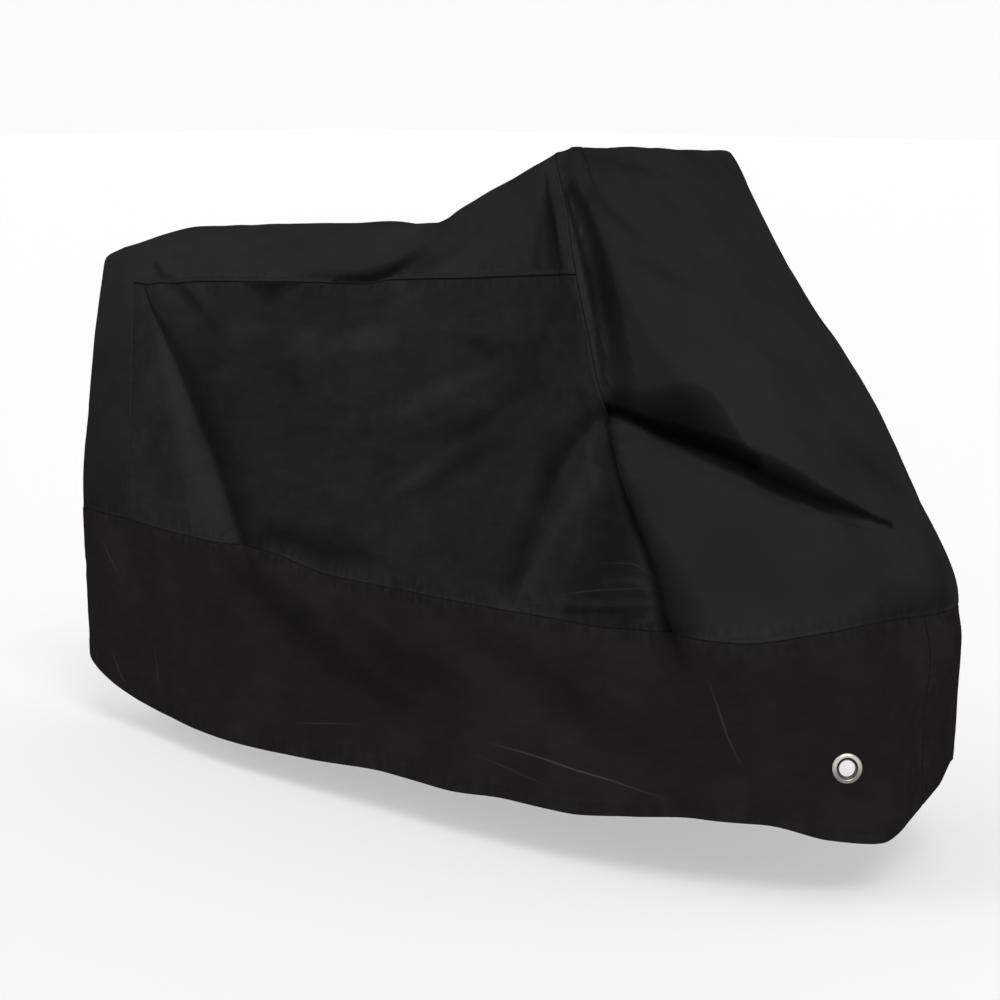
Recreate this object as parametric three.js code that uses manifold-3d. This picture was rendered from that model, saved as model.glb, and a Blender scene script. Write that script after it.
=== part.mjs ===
// Fitted cover of coated cloth, hanging hollow over what it protects.
// Lengths are millimetres. +X is the front, +Y the left side, +Z up.
// The origin is just under the top strip, in the middle of its level stretch.

import * as THREE from "three";
import { mergeVertices } from "three/addons/utils/BufferGeometryUtils.js";
import Module from "manifold-3d";

const wasm = await Module();
wasm.setup();

// Cloth, its folded hem, and the gap between two cloths at a seam
const CLOTH_THICK = 2.4;
const HEM_THICK = 4.4;
const SEAM_GAP = 0.34;

// The point that the cover hangs from, just under the top strip, with its height above the ground
const HANG_X = -700;
const HANG_Z = 936;

// The sections of the cover, each from the shoulder down to the hem, as x, y and height above the ground.
// They go round from the tail centre along the right side to the front centre, then back on the left.
// Columns of at: shoulder, strip seam, waist, skirt seam, hem. Between the shoulder and the strip seam the
// cloth either goes over the front peak, at the point peak, or rounds the top's edge, standing out by round.
const RIGHT_AND_FRONT = [
  { name: "tail centre", round: 10,
    at: [[-1245, 0, 872], [-1295, 0, 805], [-1318, 0, 600], [-1328, 0, 400], [-1295, 0, 185]] },
  { name: "tail corner", round: 10,
    at: [[-1220, -48, 878], [-1262, -70, 818], [-1284, -86, 600], [-1294, -95, 400], [-1280, -95, 125]] },
  { name: "tail seam", round: 10,
    at: [[-1135, -85, 885], [-1105, -125, 830], [-1095, -145, 620], [-1090, -160, 400], [-1075, -145, 60]] },
  { name: "tail facet", round: 12,
    at: [[-1075, -90, 895], [-1055, -140, 830], [-915, -190, 635], [-815, -230, 400], [-790, -225, 50]] },
  { name: "tail fold", round: 12,
    at: [[-1005, -90, 905], [-1015, -145, 835], [-865, -190, 620], [-650, -245, 400], [-515, -270, 60]] },
  { name: "rear flank", round: 12,
    at: [[-860, -90, 915], [-860, -155, 845], [-650, -210, 610], [-445, -275, 380], [-305, -300, 75]] },
  { name: "level rear", round: 12,
    at: [[-660, -90, 925], [-635, -165, 855], [-450, -230, 630], [-275, -295, 380], [-150, -325, 75]] },
  { name: "level front", round: 8,
    at: [[-445, -90, 940], [-405, -180, 870], [-245, -255, 650], [-115, -315, 380], [-5, -340, 85]] },
  { name: "rise low", round: 0,
    at: [[-245, -160, 995], [-185, -215, 885], [-45, -285, 665], [40, -325, 380], [120, -345, 85]] },
  { name: "rise high", round: 0,
    at: [[-35, -250, 1055], [5, -275, 900], [115, -325, 695], [180, -335, 380], [250, -345, 100]] },
  { name: "upright seam", round: 4,
    at: [[45, -285, 1078], [130, -335, 910], [205, -355, 715], [310, -340, 385], [375, -335, 115]] },
  { name: "front flank", peak: [125, -320, 1100],
    at: [[36, -252, 1074], [195, -318, 895], [315, -318, 675], [420, -305, 380], [470, -300, 115]] },
  { name: "front quarter", peak: [88, -220, 1097],
    at: [[14, -180, 1070], [290, -250, 850], [425, -262, 628], [510, -245, 395], [550, -250, 96]] },
  { name: "nose right", peak: [50, -110, 1094],
    at: [[-14, -100, 1066], [345, -150, 790], [492, -172, 582], [568, -152, 410], [597, -180, 88]] },
  { name: "front centre", peak: [15, 0, 1090],
    at: [[-45, -15, 1062], [350, -25, 752], [497, -40, 548], [570, -43, 405], [586, -65, 122]] },
  { name: "nose left", peak: [-20, 105, 1086],
    at: [[-74, 75, 1059], [288, 98, 762], [482, 54, 541], [562, 30, 402], [578, -15, 138]] },
  { name: "left ridge", peak: [-55, 205, 1082],
    at: [[-108, 160, 1055], [202, 210, 797], [438, 124, 561], [534, 80, 402], [546, 62, 150]] },
  { name: "left front flank", peak: [-95, 320, 1077],
    at: [[-150, 245, 1051], [55, 298, 865], [220, 268, 655], [402, 226, 390], [398, 220, 140]] },
  { name: "left upright seam", round: 4,
    at: [[-168, 272, 1048], [0, 332, 890], [115, 342, 700], [262, 332, 385], [275, 318, 125]] },
  { name: "left rise high", round: 0,
    at: [[-238, 226, 1020], [-75, 285, 880], [30, 315, 680], [150, 335, 380], [185, 332, 120]] },
  { name: "left rise low", round: 0,
    at: [[-332, 164, 983], [-210, 230, 875], [-80, 285, 655], [30, 325, 380], [85, 335, 110]] },
];

// Which section is where in that round
const TAIL_SEAM = 2;
const TAIL_FOLD = 4;
const UPRIGHT = 10;
const FRONT_CENTRE = 14;

// The levels down a section
const SHOULDER = 0;
const STRIP_SEAM = 2;
const SKIRT_SEAM = 4;
const HEM = 5;

// The left rear quarter is the right one turned over, its hem a little higher
const LEFT_HEM_LIFT = 15;
const mirrored = RIGHT_AND_FRONT.slice(1, 8).reverse().map(({ name, round, at }) => ({
  name: "left " + name,
  round,
  at: at.map(([x, y, z], k) => [x, -y, k === at.length - 1 ? z + LEFT_HEM_LIFT : z]),
}));

// A section's points at its levels, with the one at the peak or at the top's edge put in
function levelsOf({ peak, round, at }) {
  const points = at.map((p) => new THREE.Vector3(...p));
  const [shoulder, seam] = points;
  if (peak) return [shoulder, new THREE.Vector3(...peak), ...points.slice(1)];
  const out = seam.clone().sub(shoulder).setZ(0).normalize().setZ(1).normalize();
  const edge = shoulder.clone().lerp(seam, 0.5).addScaledVector(out, round);
  return [shoulder, edge, ...points.slice(1)];
}
const RIBS = [...RIGHT_AND_FRONT, ...mirrored].map(levelsOf);
const ROUND = RIBS.length;

// Folds that show from a step away. A path runs straight from one place to another, each a section number
// and a level. above and below are the fold's reach on its two sides, depth how far it goes in at its
// start, middle and end, all in mm. A negative depth stands out.
const FOLDS = [
  { name: "long front fold", from: [10.05, 3], to: [14, 3], above: 75, below: 35, depth: [18, 32, 0] },
  { name: "bulge under it", from: [10.3, 3.2], to: [12.8, 3.5], above: 75, below: 110, depth: [-8, -14, -4] },
  { name: "below the node", from: [10, 3.05], to: [10.05, 4], above: 30, below: 40, depth: [14, 24, 12] },
  { name: "rear of the seam", from: [9.75, 0.3], to: [9.65, 2], above: 35, below: 35, depth: [6, 16, 4] },
  { name: "front of the seam", from: [10.3, 0.8], to: [10.2, 2.9], above: 45, below: 40, depth: [6, 20, 10] },
  { name: "node to skirt", from: [9.95, 3.05], to: [8.6, 4], above: 40, below: 40, depth: [8, 16, 4] },
  { name: "hollow by the node", from: [9.6, 3.3], to: [9.3, 4], above: 60, below: 60, depth: [4, 14, 12] },
  { name: "tail fold", from: [3.9, 2], to: [4.15, 4.1], above: 55, below: 50, depth: [8, 26, 20] },
  { name: "tail facet", from: [3.2, 2.2], to: [3.3, 4], above: 80, below: 70, depth: [-3, -10, -6] },
  { name: "foot of the rise", from: [7.3, 0.3], to: [6.3, 1.7], above: 60, below: 60, depth: [4, 12, 4] },
  { name: "skirt's front", from: [12.6, 4.25], to: [16.2, 4.3], above: 60, below: 90, depth: [-2, -8, -8] },
  { name: "left tail fold", from: [24.2, 2], to: [23.6, 4.1], above: 55, below: 55, depth: [6, 20, 12] },
  { name: "left node fold", from: [17.9, 3], to: [16, 3.1], above: 45, below: 60, depth: [14, 22, 4] },
  { name: "left below the node", from: [18, 3.05], to: [17.9, 4], above: 40, below: 40, depth: [10, 20, 10] },
];
const FOLD_STEPS = 28;

// Rows and columns of the sheet. Rows are fractions of the way from one level to the next.
const ROWS = [
  [0, 0.5],
  [0, 0.3, 0.65],
  [0, 0.25, 0.5, 0.72, 0.88],
  [0, 0.1, 0.24, 0.42, 0.6, 0.8],
  [0, 0.2, 0.4, 0.58, 0.76, 0.92],
];
const COLUMNS_PER_SECTION = 3;
const COLUMNS_BY_SEAM = 5;

// The top between the shoulders is crowned where it is level and sags where it rises to the peak.
// along goes from the tail, 0, to the peak, 1, and rise is the height added on the centre line.
const CROWN = [
  { along: 0, rise: 0 },
  { along: 0.14, rise: 33 },
  { along: 0.43, rise: 27 },
  { along: 0.57, rise: -14 },
  { along: 0.78, rise: -22 },
  { along: 1, rise: 0 },
];

// Eyelets, each at a place on the sheet. The cloth round one is flat out to the flat radius and takes its
// own form again over the fade.
const EYELETS = [
  { side: "right", section: 12.35, level: 4.66 },
  { side: "left", section: 16.55, level: 4.62 },
];
const EYELET_RADIUS = 23;
const EYELET_HOLE = 12;
const EYELET_WALL = 1;
const EYELET_LIP = 0.5;
const EYELET_DOME = 3.4;
const DOME_STEPS = 8;
const WASHER_RADIUS = 21;
const WASHER_THICK = 0.8;
const PIECE_GAP = 0.3;
const PUNCH_LENGTH = 60;
const FLAT_RADIUS = 80;
const FLAT_FADE = 70;
const SLOPE_STEP = 0.05;
const ROUND_SIDES = 36;

// Slope of a curve at a point between two steps: their harmonic mean, or level where they turn back
function slope(before, after) {
  return before * after > 0 ? (2 * before * after) / (before + after) : 0;
}

// Point at t between b and c on the smooth curve a, b, c, d that never swings past its points
function between(a, b, c, d, t) {
  const t2 = t * t;
  const t3 = t2 * t;
  const axis = (k) => {
    const step = c[k] - b[k];
    const start = slope(b[k] - a[k], step);
    const end = slope(step, d[k] - c[k]);
    return b[k] * (2 * t3 - 3 * t2 + 1) + start * (t3 - 2 * t2 + t)
      + c[k] * (3 * t2 - 2 * t3) + end * (t3 - t2);
  };
  return new THREE.Vector3(axis("x"), axis("y"), axis("z"));
}

const beyond = (p, q) => p.clone().multiplyScalar(2).sub(q);
const section = (i) => RIBS[((i % ROUND) + ROUND) % ROUND];

// Point on one section, at a level between the shoulder and the hem
function onSection(i, level) {
  const rib = section(i);
  const k = Math.min(Math.floor(level), HEM - 1);
  const before = k > 0 ? rib[k - 1] : beyond(rib[0], rib[1]);
  const after = k < HEM - 1 ? rib[k + 2] : beyond(rib[HEM], rib[HEM - 1]);
  return between(before, rib[k], rib[k + 1], after, level - k);
}

// Point on the smooth sheet round the sides
function onSheet(round, level) {
  const i = Math.floor(round);
  const near = [-1, 0, 1, 2].map((step) => onSection(i + step, level));
  return between(...near, round - i);
}

// The sheet as a net of vertices: the sides in rows and columns, then the top between the shoulders
const rows = ROWS.flatMap((fractions, level) => fractions.map((f) => level + f)).concat(HEM);
const rowOf = (level) => rows.indexOf(level);

function cellsInSection(i) {
  const besideSeam = i === UPRIGHT - 1 || i === ROUND - UPRIGHT;
  return besideSeam ? COLUMNS_BY_SEAM : COLUMNS_PER_SECTION;
}
const columns = [];
const columnOf = [];
for (let i = 0; i < ROUND; i++) {
  columnOf.push(columns.length);
  const count = cellsInSection(i);
  for (let n = 0; n < count; n++) columns.push(i + n / count);
}
columnOf.push(columns.length);

const points = [];
const side = columns.map((round) => rows.map((level) => points.push(onSheet(round, level)) - 1));
const sideId = (column, row) => side[((column % columns.length) + columns.length) % columns.length][row];

// The top is stretched between four edges: the two shoulders, the tail end and the seam behind the peak
const topLength = columnOf[UPRIGHT] - columnOf[TAIL_FOLD];
const topWidth = 2 * columnOf[TAIL_FOLD];
const rightEdge = (s) => sideId(columnOf[TAIL_FOLD] + s, 0);
const leftEdge = (s) => sideId(-columnOf[TAIL_FOLD] - s, 0);
const tailEdge = (t) => sideId(columnOf[TAIL_FOLD] - t, 0);
const peakEdge = (t) => sideId(columnOf[UPRIGHT] + t, 0);

function crownAt(along) {
  const next = Math.max(1, CROWN.findIndex((c) => c.along >= along));
  const [low, high] = [CROWN[next - 1], CROWN[next]];
  return low.rise + (high.rise - low.rise) * (along - low.along) / (high.along - low.along);
}

function onTop(s, t) {
  const a = s / topLength;
  const b = t / topWidth;
  const sum = new THREE.Vector3();
  const add = (id, share) => sum.addScaledVector(points[id], share);
  add(rightEdge(s), 1 - b);
  add(leftEdge(s), b);
  add(tailEdge(t), 1 - a);
  add(peakEdge(t), a);
  add(rightEdge(0), -(1 - a) * (1 - b));
  add(leftEdge(0), -(1 - a) * b);
  add(rightEdge(topLength), -a * (1 - b));
  add(leftEdge(topLength), -a * b);
  sum.z += crownAt(a) * 4 * b * (1 - b);
  return sum;
}
const top = [];
for (let s = 0; s <= topLength; s++) {
  top.push([]);
  for (let t = 0; t <= topWidth; t++) {
    if (t === 0) top[s].push(rightEdge(s));
    else if (t === topWidth) top[s].push(leftEdge(s));
    else if (s === 0) top[s].push(tailEdge(t));
    else if (s === topLength) top[s].push(peakEdge(t));
    else top[s].push(points.push(onTop(s, t)) - 1);
  }
}

// Cells with their corners anticlockwise as seen from outside
function sideCells(fromSection, toSection, fromLevel, toLevel) {
  const cells = [];
  for (let c = columnOf[fromSection]; c < columnOf[toSection]; c++) {
    for (let r = rowOf(fromLevel); r < rowOf(toLevel); r++) {
      cells.push([sideId(c, r), sideId(c, r + 1), sideId(c + 1, r + 1), sideId(c + 1, r)]);
    }
  }
  return cells;
}
function topCells() {
  const cells = [];
  for (let s = 0; s < topLength; s++) {
    for (let t = 0; t < topWidth; t++) {
      cells.push([top[s][t], top[s + 1][t], top[s + 1][t + 1], top[s][t + 1]]);
    }
  }
  return cells;
}

const leftUpright = ROUND - UPRIGHT;
const leftTailSeam = ROUND - TAIL_SEAM;
const PANELS = {
  top_strip: [
    ...topCells(),
    ...sideCells(TAIL_SEAM, UPRIGHT, SHOULDER, STRIP_SEAM),
    ...sideCells(leftUpright, leftTailSeam, SHOULDER, STRIP_SEAM),
    ...sideCells(0, TAIL_SEAM, SHOULDER, SKIRT_SEAM),
    ...sideCells(leftTailSeam, ROUND, SHOULDER, SKIRT_SEAM),
  ],
  side_right: sideCells(TAIL_SEAM, UPRIGHT, STRIP_SEAM, SKIRT_SEAM),
  side_left: sideCells(leftUpright, leftTailSeam, STRIP_SEAM, SKIRT_SEAM),
  front_panel: sideCells(UPRIGHT, leftUpright, SHOULDER, SKIRT_SEAM),
  skirt_right: sideCells(0, FRONT_CENTRE, SKIRT_SEAM, HEM),
  skirt_left: sideCells(FRONT_CENTRE, ROUND, SKIRT_SEAM, HEM),
};

// Normals of the whole sheet, each the sum of its cells' normals
function sheetNormals() {
  const normals = points.map(() => new THREE.Vector3());
  for (const cell of Object.values(PANELS).flat()) {
    const [a, b, c, d] = cell.map((id) => points[id]);
    const face = new THREE.Vector3().crossVectors(c.clone().sub(a), d.clone().sub(b));
    for (const id of cell) normals[id].add(face);
  }
  return normals.map((n) => n.normalize());
}

// How far a fold moves one point in or out
function foldDepth(path, fold, point, normal) {
  let nearest = 0;
  for (let i = 1; i <= FOLD_STEPS; i++) {
    if (path[i].distanceToSquared(point) < path[nearest].distanceToSquared(point)) nearest = i;
  }
  const ahead = path[Math.min(nearest + 1, FOLD_STEPS)];
  const behind = path[Math.max(nearest - 1, 0)];
  const along = ahead.clone().sub(behind).normalize();
  const offset = point.clone().sub(path[nearest]);
  const up = new THREE.Vector3().crossVectors(normal, along);
  const reach = offset.dot(up) > 0 ? fold.above : fold.below;
  const q = offset.length() / reach;
  if (q >= 1) return 0;
  const s = nearest / FOLD_STEPS;
  const [start, middle, end] = fold.depth;
  const depth = s < 0.5 ? start + (middle - start) * 2 * s : middle + (end - middle) * (2 * s - 1);
  return depth * (1 - q * q) ** 2;
}

const smooth = sheetNormals();
const moved = points.map(() => 0);
for (const fold of FOLDS) {
  const path = [];
  for (let i = 0; i <= FOLD_STEPS; i++) {
    const s = i / FOLD_STEPS;
    const round = THREE.MathUtils.lerp(fold.from[0], fold.to[0], s);
    path.push(onSheet(round, THREE.MathUtils.lerp(fold.from[1], fold.to[1], s)));
  }
  points.forEach((point, id) => {
    moved[id] += foldDepth(path, fold, point, smooth[id]);
  });
}
points.forEach((point, id) => point.addScaledVector(smooth[id], -moved[id]));

// The cloth lies flat where an eyelet is pressed through it
const eyelets = EYELETS.map(({ side: name, section: round, level }) => {
  const centre = onSheet(round, level);
  const across = onSheet(round + SLOPE_STEP, level).sub(onSheet(round - SLOPE_STEP, level));
  const down = onSheet(round, level + SLOPE_STEP).sub(onSheet(round, level - SLOPE_STEP));
  const normal = down.cross(across).normalize();
  for (const point of points) {
    const away = point.distanceTo(centre);
    const share = THREE.MathUtils.clamp((FLAT_RADIUS + FLAT_FADE - away) / FLAT_FADE, 0, 1);
    const height = point.clone().sub(centre).dot(normal);
    point.addScaledVector(normal, -height * share);
  }
  return { name, centre, normal };
});

// The hem is the last two rows of the sheet, folded double
const normals = sheetNormals();
const hemRow = rows.length - 2;
const thickness = points.map(() => CLOTH_THICK);
for (let c = 0; c < columns.length; c++) {
  for (let r = hemRow; r < rows.length; r++) thickness[sideId(c, r)] = HEM_THICK;
}

// One closed sheet from its cells: an outer and an inner face and a rim, drawn in by half a seam gap
function clothPanel(cells) {
  const edges = new Set(cells.flatMap((cell) => cell.map((id, k) => id + ">" + cell[(k + 1) % 4])));
  const pairs = [...edges].map((edge) => edge.split(">").map(Number));
  const rim = pairs.filter(([a, b]) => !edges.has(b + ">" + a));
  const inward = new Map();
  for (const [a, b] of rim) {
    for (const id of [a, b]) {
      const edge = points[b].clone().sub(points[a]);
      const into = normals[id].clone().cross(edge).normalize();
      inward.set(id, [...(inward.get(id) ?? []), into]);
    }
  }
  const index = new Map();
  const outer = [];
  const inner = [];
  for (const id of cells.flat()) {
    if (index.has(id)) continue;
    index.set(id, outer.length);
    const at = points[id].clone();
    const pull = inward.get(id);
    if (pull) {
      const [m, n] = pull;
      at.addScaledVector(m.clone().add(n), SEAM_GAP / 2 / (1 + m.dot(n)));
    }
    outer.push(at.clone().addScaledVector(normals[id], thickness[id] / 2));
    inner.push(at.addScaledVector(normals[id], -thickness[id] / 2));
  }
  const shift = outer.length;
  const triangles = [];
  for (const cell of cells) {
    const [a, b, c, d] = cell.map((id) => index.get(id));
    const acShorter = outer[a].distanceTo(outer[c]) < outer[b].distanceTo(outer[d]);
    const halves = acShorter ? [[a, b, c], [a, c, d]] : [[a, b, d], [b, c, d]];
    for (const [p, q, r] of halves) {
      triangles.push(p, q, r);
      triangles.push(p + shift, r + shift, q + shift);
    }
  }
  for (const [from, to] of rim) {
    const a = index.get(from);
    const b = index.get(to);
    // Both cloths of a seam split the strip between them along the same diagonal, so their rims run parallel
    if (from < to) triangles.push(a + shift, b + shift, b, a + shift, b, a);
    else triangles.push(a + shift, b + shift, a, b + shift, b, a);
  }
  const geometry = new THREE.BufferGeometry();
  geometry.setAttribute("position", new THREE.Float32BufferAttribute(
    [...outer, ...inner].flatMap((p) => [p.x, p.y, p.z]), 3));
  geometry.setIndex(triangles);
  return geometry;
}

// Turns a shape made along +Z so that it stands on an eyelet's place, looking out
function placeOnEyelet(geometry, { centre, normal }) {
  const turn = new THREE.Quaternion().setFromUnitVectors(new THREE.Vector3(0, 0, 1), normal);
  return geometry.applyQuaternion(turn).translate(centre.x, centre.y, centre.z);
}

// A ring turned from its section, as pairs of radius and height along the axis
function turned(section) {
  const profile = [...section, section[0]].map(([r, h]) => new THREE.Vector2(r, h));
  return new THREE.LatheGeometry(profile, ROUND_SIDES).rotateX(Math.PI / 2);
}

function solid(geometry) {
  const bare = geometry.clone();
  bare.deleteAttribute("normal");
  bare.deleteAttribute("uv");
  const merged = mergeVertices(bare);
  return new wasm.Manifold(new wasm.Mesh({
    numProp: 3,
    vertProperties: new Float32Array(merged.attributes.position.array),
    triVerts: new Uint32Array(merged.index.array),
  }));
}
function fromSolid(body) {
  const mesh = body.getMesh();
  const geometry = new THREE.BufferGeometry();
  geometry.setAttribute("position", new THREE.BufferAttribute(new Float32Array(mesh.vertProperties), 3));
  geometry.setIndex(new THREE.BufferAttribute(new Uint32Array(mesh.triVerts), 1));
  return geometry;
}

// The hole that an eyelet's barrel goes through
function punched(cloth, eyelet) {
  const radius = EYELET_HOLE + EYELET_WALL + PIECE_GAP;
  const punch = new THREE.CylinderGeometry(radius, radius, PUNCH_LENGTH, ROUND_SIDES).rotateX(Math.PI / 2);
  return fromSolid(solid(cloth).subtract(solid(placeOnEyelet(punch, eyelet))));
}

// The eyelet: a domed flange in front of the cloth and a barrel through it
function eyeletRing() {
  const face = CLOTH_THICK / 2 + PIECE_GAP;
  const back = -(CLOTH_THICK / 2 + PIECE_GAP + WASHER_THICK + PIECE_GAP);
  const barrel = EYELET_HOLE + EYELET_WALL;
  const middle = (EYELET_RADIUS + EYELET_HOLE) / 2;
  const halfWidth = (EYELET_RADIUS - EYELET_HOLE) / 2;
  const dome = [];
  for (let i = 0; i <= DOME_STEPS; i++) {
    const angle = Math.PI * (i / DOME_STEPS);
    dome.push([middle + Math.cos(angle) * halfWidth, face + EYELET_LIP + Math.sin(angle) * EYELET_DOME]);
  }
  return turned([[barrel, back], [barrel, face], [EYELET_RADIUS, face], ...dome, [EYELET_HOLE, back]]);
}

function eyeletWasher() {
  const near = -(CLOTH_THICK / 2 + PIECE_GAP);
  const far = near - WASHER_THICK;
  const bore = EYELET_HOLE + EYELET_WALL + PIECE_GAP;
  return turned([[bore, far], [WASHER_RADIUS, far], [WASHER_RADIUS, near], [bore, near]]);
}

const upperCloth = () => new THREE.MeshStandardMaterial({ color: 0x232325, roughness: 0.42, metalness: 0 });
const skirtCloth = () => new THREE.MeshStandardMaterial({ color: 0x1b1a19, roughness: 0.75, metalness: 0 });
const plated = () => new THREE.MeshStandardMaterial({ color: 0xb9b7b2, roughness: 0.2, metalness: 1 });

const cover = new THREE.Group();
function add(name, geometry, material) {
  const mesh = new THREE.Mesh(geometry, material);
  mesh.name = name;
  mesh.position.set(-HANG_X, 0, -HANG_Z);
  cover.add(mesh);
}

for (const [name, cells] of Object.entries(PANELS)) {
  const eyelet = eyelets.find((e) => name === "skirt_" + e.name);
  const cloth = clothPanel(cells);
  if (eyelet) add(name, punched(cloth, eyelet), skirtCloth());
  else add(name, cloth, upperCloth());
}
for (const eyelet of eyelets) {
  add("eyelet_" + eyelet.name, placeOnEyelet(eyeletRing(), eyelet), plated());
  add("eyelet_washer_" + eyelet.name, placeOnEyelet(eyeletWasher(), eyelet), plated());
}

export default cover;
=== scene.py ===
# %% [markdown]
# # A fitted cover of coated cloth
# The real object is a weather cover: four panels of thin, glossy coated cloth sewn into a hood, with a
# duller skirt sewn round its foot and an eyelet pressed through each side of the skirt near the front.
# It hangs over something tall in front and level behind. Here only the cover is made, and it is hollow.
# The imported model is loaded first, because every piece has to sit exactly where that model says.

# %% Load the frame
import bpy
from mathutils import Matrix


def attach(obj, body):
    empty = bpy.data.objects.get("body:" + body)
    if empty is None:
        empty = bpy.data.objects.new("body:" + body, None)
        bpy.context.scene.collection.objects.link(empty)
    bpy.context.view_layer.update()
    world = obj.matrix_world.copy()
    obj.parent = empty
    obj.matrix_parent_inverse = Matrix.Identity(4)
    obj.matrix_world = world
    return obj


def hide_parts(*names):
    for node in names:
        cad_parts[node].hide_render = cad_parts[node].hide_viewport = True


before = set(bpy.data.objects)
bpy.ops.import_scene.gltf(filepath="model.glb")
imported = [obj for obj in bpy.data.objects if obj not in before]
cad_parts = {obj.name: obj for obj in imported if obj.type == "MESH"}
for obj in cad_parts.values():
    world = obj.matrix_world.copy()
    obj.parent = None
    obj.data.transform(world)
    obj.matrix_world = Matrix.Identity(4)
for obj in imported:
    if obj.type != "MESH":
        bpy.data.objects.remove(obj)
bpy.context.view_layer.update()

# %% [markdown]
# ## Sizes and how the cloth is described
# The cloth could be simulated falling over a form, but then its outline and its folds would land where the
# simulation likes. It is described instead as one smooth sheet through 28 upright sections that stand round
# the cover, each with six points from the shoulder down to the hem. A place on the sheet is then two
# numbers, a section number and a level, and each seam, fold and crease is a short row in a table.

# %% Sections of the cover
import math
import bpy
import numpy as np

# Lengths in the tables are millimetres. Heights are above the ground, and the frame's origin is at HANG.
HANG = np.array([-700.0, 0.0, 936.0])

# Columns: name, then how far the cloth rounds its edge, or the point where it goes over the peak,
# then the shoulder, the strip seam, the waist, the skirt seam and the hem.
RIGHT_AND_FRONT = [
    ("tail centre", 18, (-1245, 0, 880), (-1295, 0, 805), (-1318, 0, 600), (-1328, 0, 400),
     (-1295, 0, 185)),
    ("tail corner", 20, (-1220, -48, 887), (-1262, -70, 818), (-1284, -86, 600), (-1294, -95, 400),
     (-1280, -95, 125)),
    ("tail seam", 15, (-1135, -85, 891), (-1105, -125, 830), (-1095, -145, 620), (-1090, -160, 400),
     (-1075, -145, 60)),
    ("tail facet", 12, (-1075, -90, 895), (-1055, -140, 830), (-915, -190, 635), (-815, -230, 400),
     (-790, -225, 50)),
    ("tail fold", 7, (-1005, -90, 905), (-1015, -145, 835), (-865, -190, 620), (-650, -245, 400),
     (-515, -270, 60)),
    ("rear flank", 5, (-860, -90, 915), (-860, -155, 845), (-650, -210, 610), (-445, -275, 380),
     (-305, -300, 75)),
    ("level rear", 4, (-660, -90, 925), (-635, -165, 855), (-450, -230, 630), (-275, -295, 380),
     (-150, -325, 75)),
    ("level front", 3, (-445, -90, 940), (-405, -180, 870), (-245, -255, 650), (-115, -315, 380),
     (-5, -340, 85)),
    ("rise low", 0, (-245, -160, 1001), (-185, -215, 885), (-45, -285, 665), (40, -325, 380),
     (120, -345, 85)),
    ("rise high", 0, (-35, -250, 1064), (5, -275, 900), (115, -325, 695), (180, -335, 380),
     (250, -345, 100)),
    ("upright seam", 6, (45, -285, 1087), (130, -335, 910), (205, -355, 715), (310, -340, 385),
     (375, -335, 115)),
    ("front flank", (125, -320, 1100), (36, -252, 1092), (195, -318, 895), (315, -318, 675),
     (420, -305, 380), (470, -300, 115)),
    ("front quarter", (88, -220, 1097), (14, -180, 1079), (290, -250, 850), (425, -262, 628),
     (510, -245, 395), (550, -250, 96)),
    ("nose right", (50, -110, 1094), (-14, -100, 1068), (345, -150, 790), (492, -172, 582),
     (568, -152, 410), (597, -180, 88)),
    ("front centre", (15, 0, 1090), (-45, -15, 1062), (350, -25, 752), (497, -40, 548), (570, -43, 405),
     (586, -65, 122)),
    ("nose left", (-20, 105, 1086), (-74, 75, 1059), (288, 98, 762), (482, 54, 541), (562, 30, 402),
     (580, -14, 140)),
    ("left ridge", (-55, 205, 1082), (-108, 160, 1055), (202, 210, 797), (438, 124, 561), (542, 86, 402),
     (550, 66, 164)),
    ("left front flank", (-95, 320, 1077), (-150, 245, 1051), (55, 298, 865), (220, 268, 655),
     (402, 226, 390), (398, 220, 140)),
    ("left upright seam", 4, (-168, 272, 1048), (0, 332, 890), (115, 342, 700), (262, 332, 385),
     (275, 318, 125)),
    ("left rise high", 0, (-238, 226, 1020), (-75, 285, 880), (30, 315, 680), (150, 335, 380),
     (185, 332, 120)),
    ("left rise low", 0, (-332, 164, 983), (-210, 230, 875), (-80, 285, 655), (30, 325, 380),
     (85, 335, 110)),
]
LEFT_HEM_LIFT = 15

# The left rear quarter is the right one turned over
turned_over = [
    (name, edge, *[(x, -y, z + (LEFT_HEM_LIFT if k == 4 else 0)) for k, (x, y, z) in enumerate(points)])
    for name, edge, *points in RIGHT_AND_FRONT[7:0:-1]
]


def section_points(name, edge, *points):
    """The section's five points with the one over the peak or round the edge put in as the second."""
    points = np.array(points, float)
    if isinstance(edge, tuple):
        middle = np.array(edge, float)
    else:
        out = (points[1] - points[0]) * (1, 1, 0)
        out = out / np.linalg.norm(out) + (0, 0, 1)
        middle = (points[0] + points[1]) / 2 + edge * out / np.linalg.norm(out)
    return np.vstack([points[0], middle, points[1:]])


SECTIONS = np.array([section_points(*row) for row in RIGHT_AND_FRONT + turned_over])
ROUND, HEM = len(SECTIONS), SECTIONS.shape[1] - 1
TAIL_SEAM, TAIL_FOLD, UPRIGHT, FRONT_CENTRE = 2, 4, 10, 14
STRIP_SEAM, SKIRT_SEAM = 2, 4
print(ROUND, "sections,", HEM, "levels below the shoulder")

# %% [markdown]
# ## A curve that never overshoots
# An ordinary spline swings past its points, which on taut cloth looks like a bulge. The slope at each point
# is therefore the harmonic mean of the steps on its two sides, and level where the steps disagree.

# %% The smooth sheet


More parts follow.
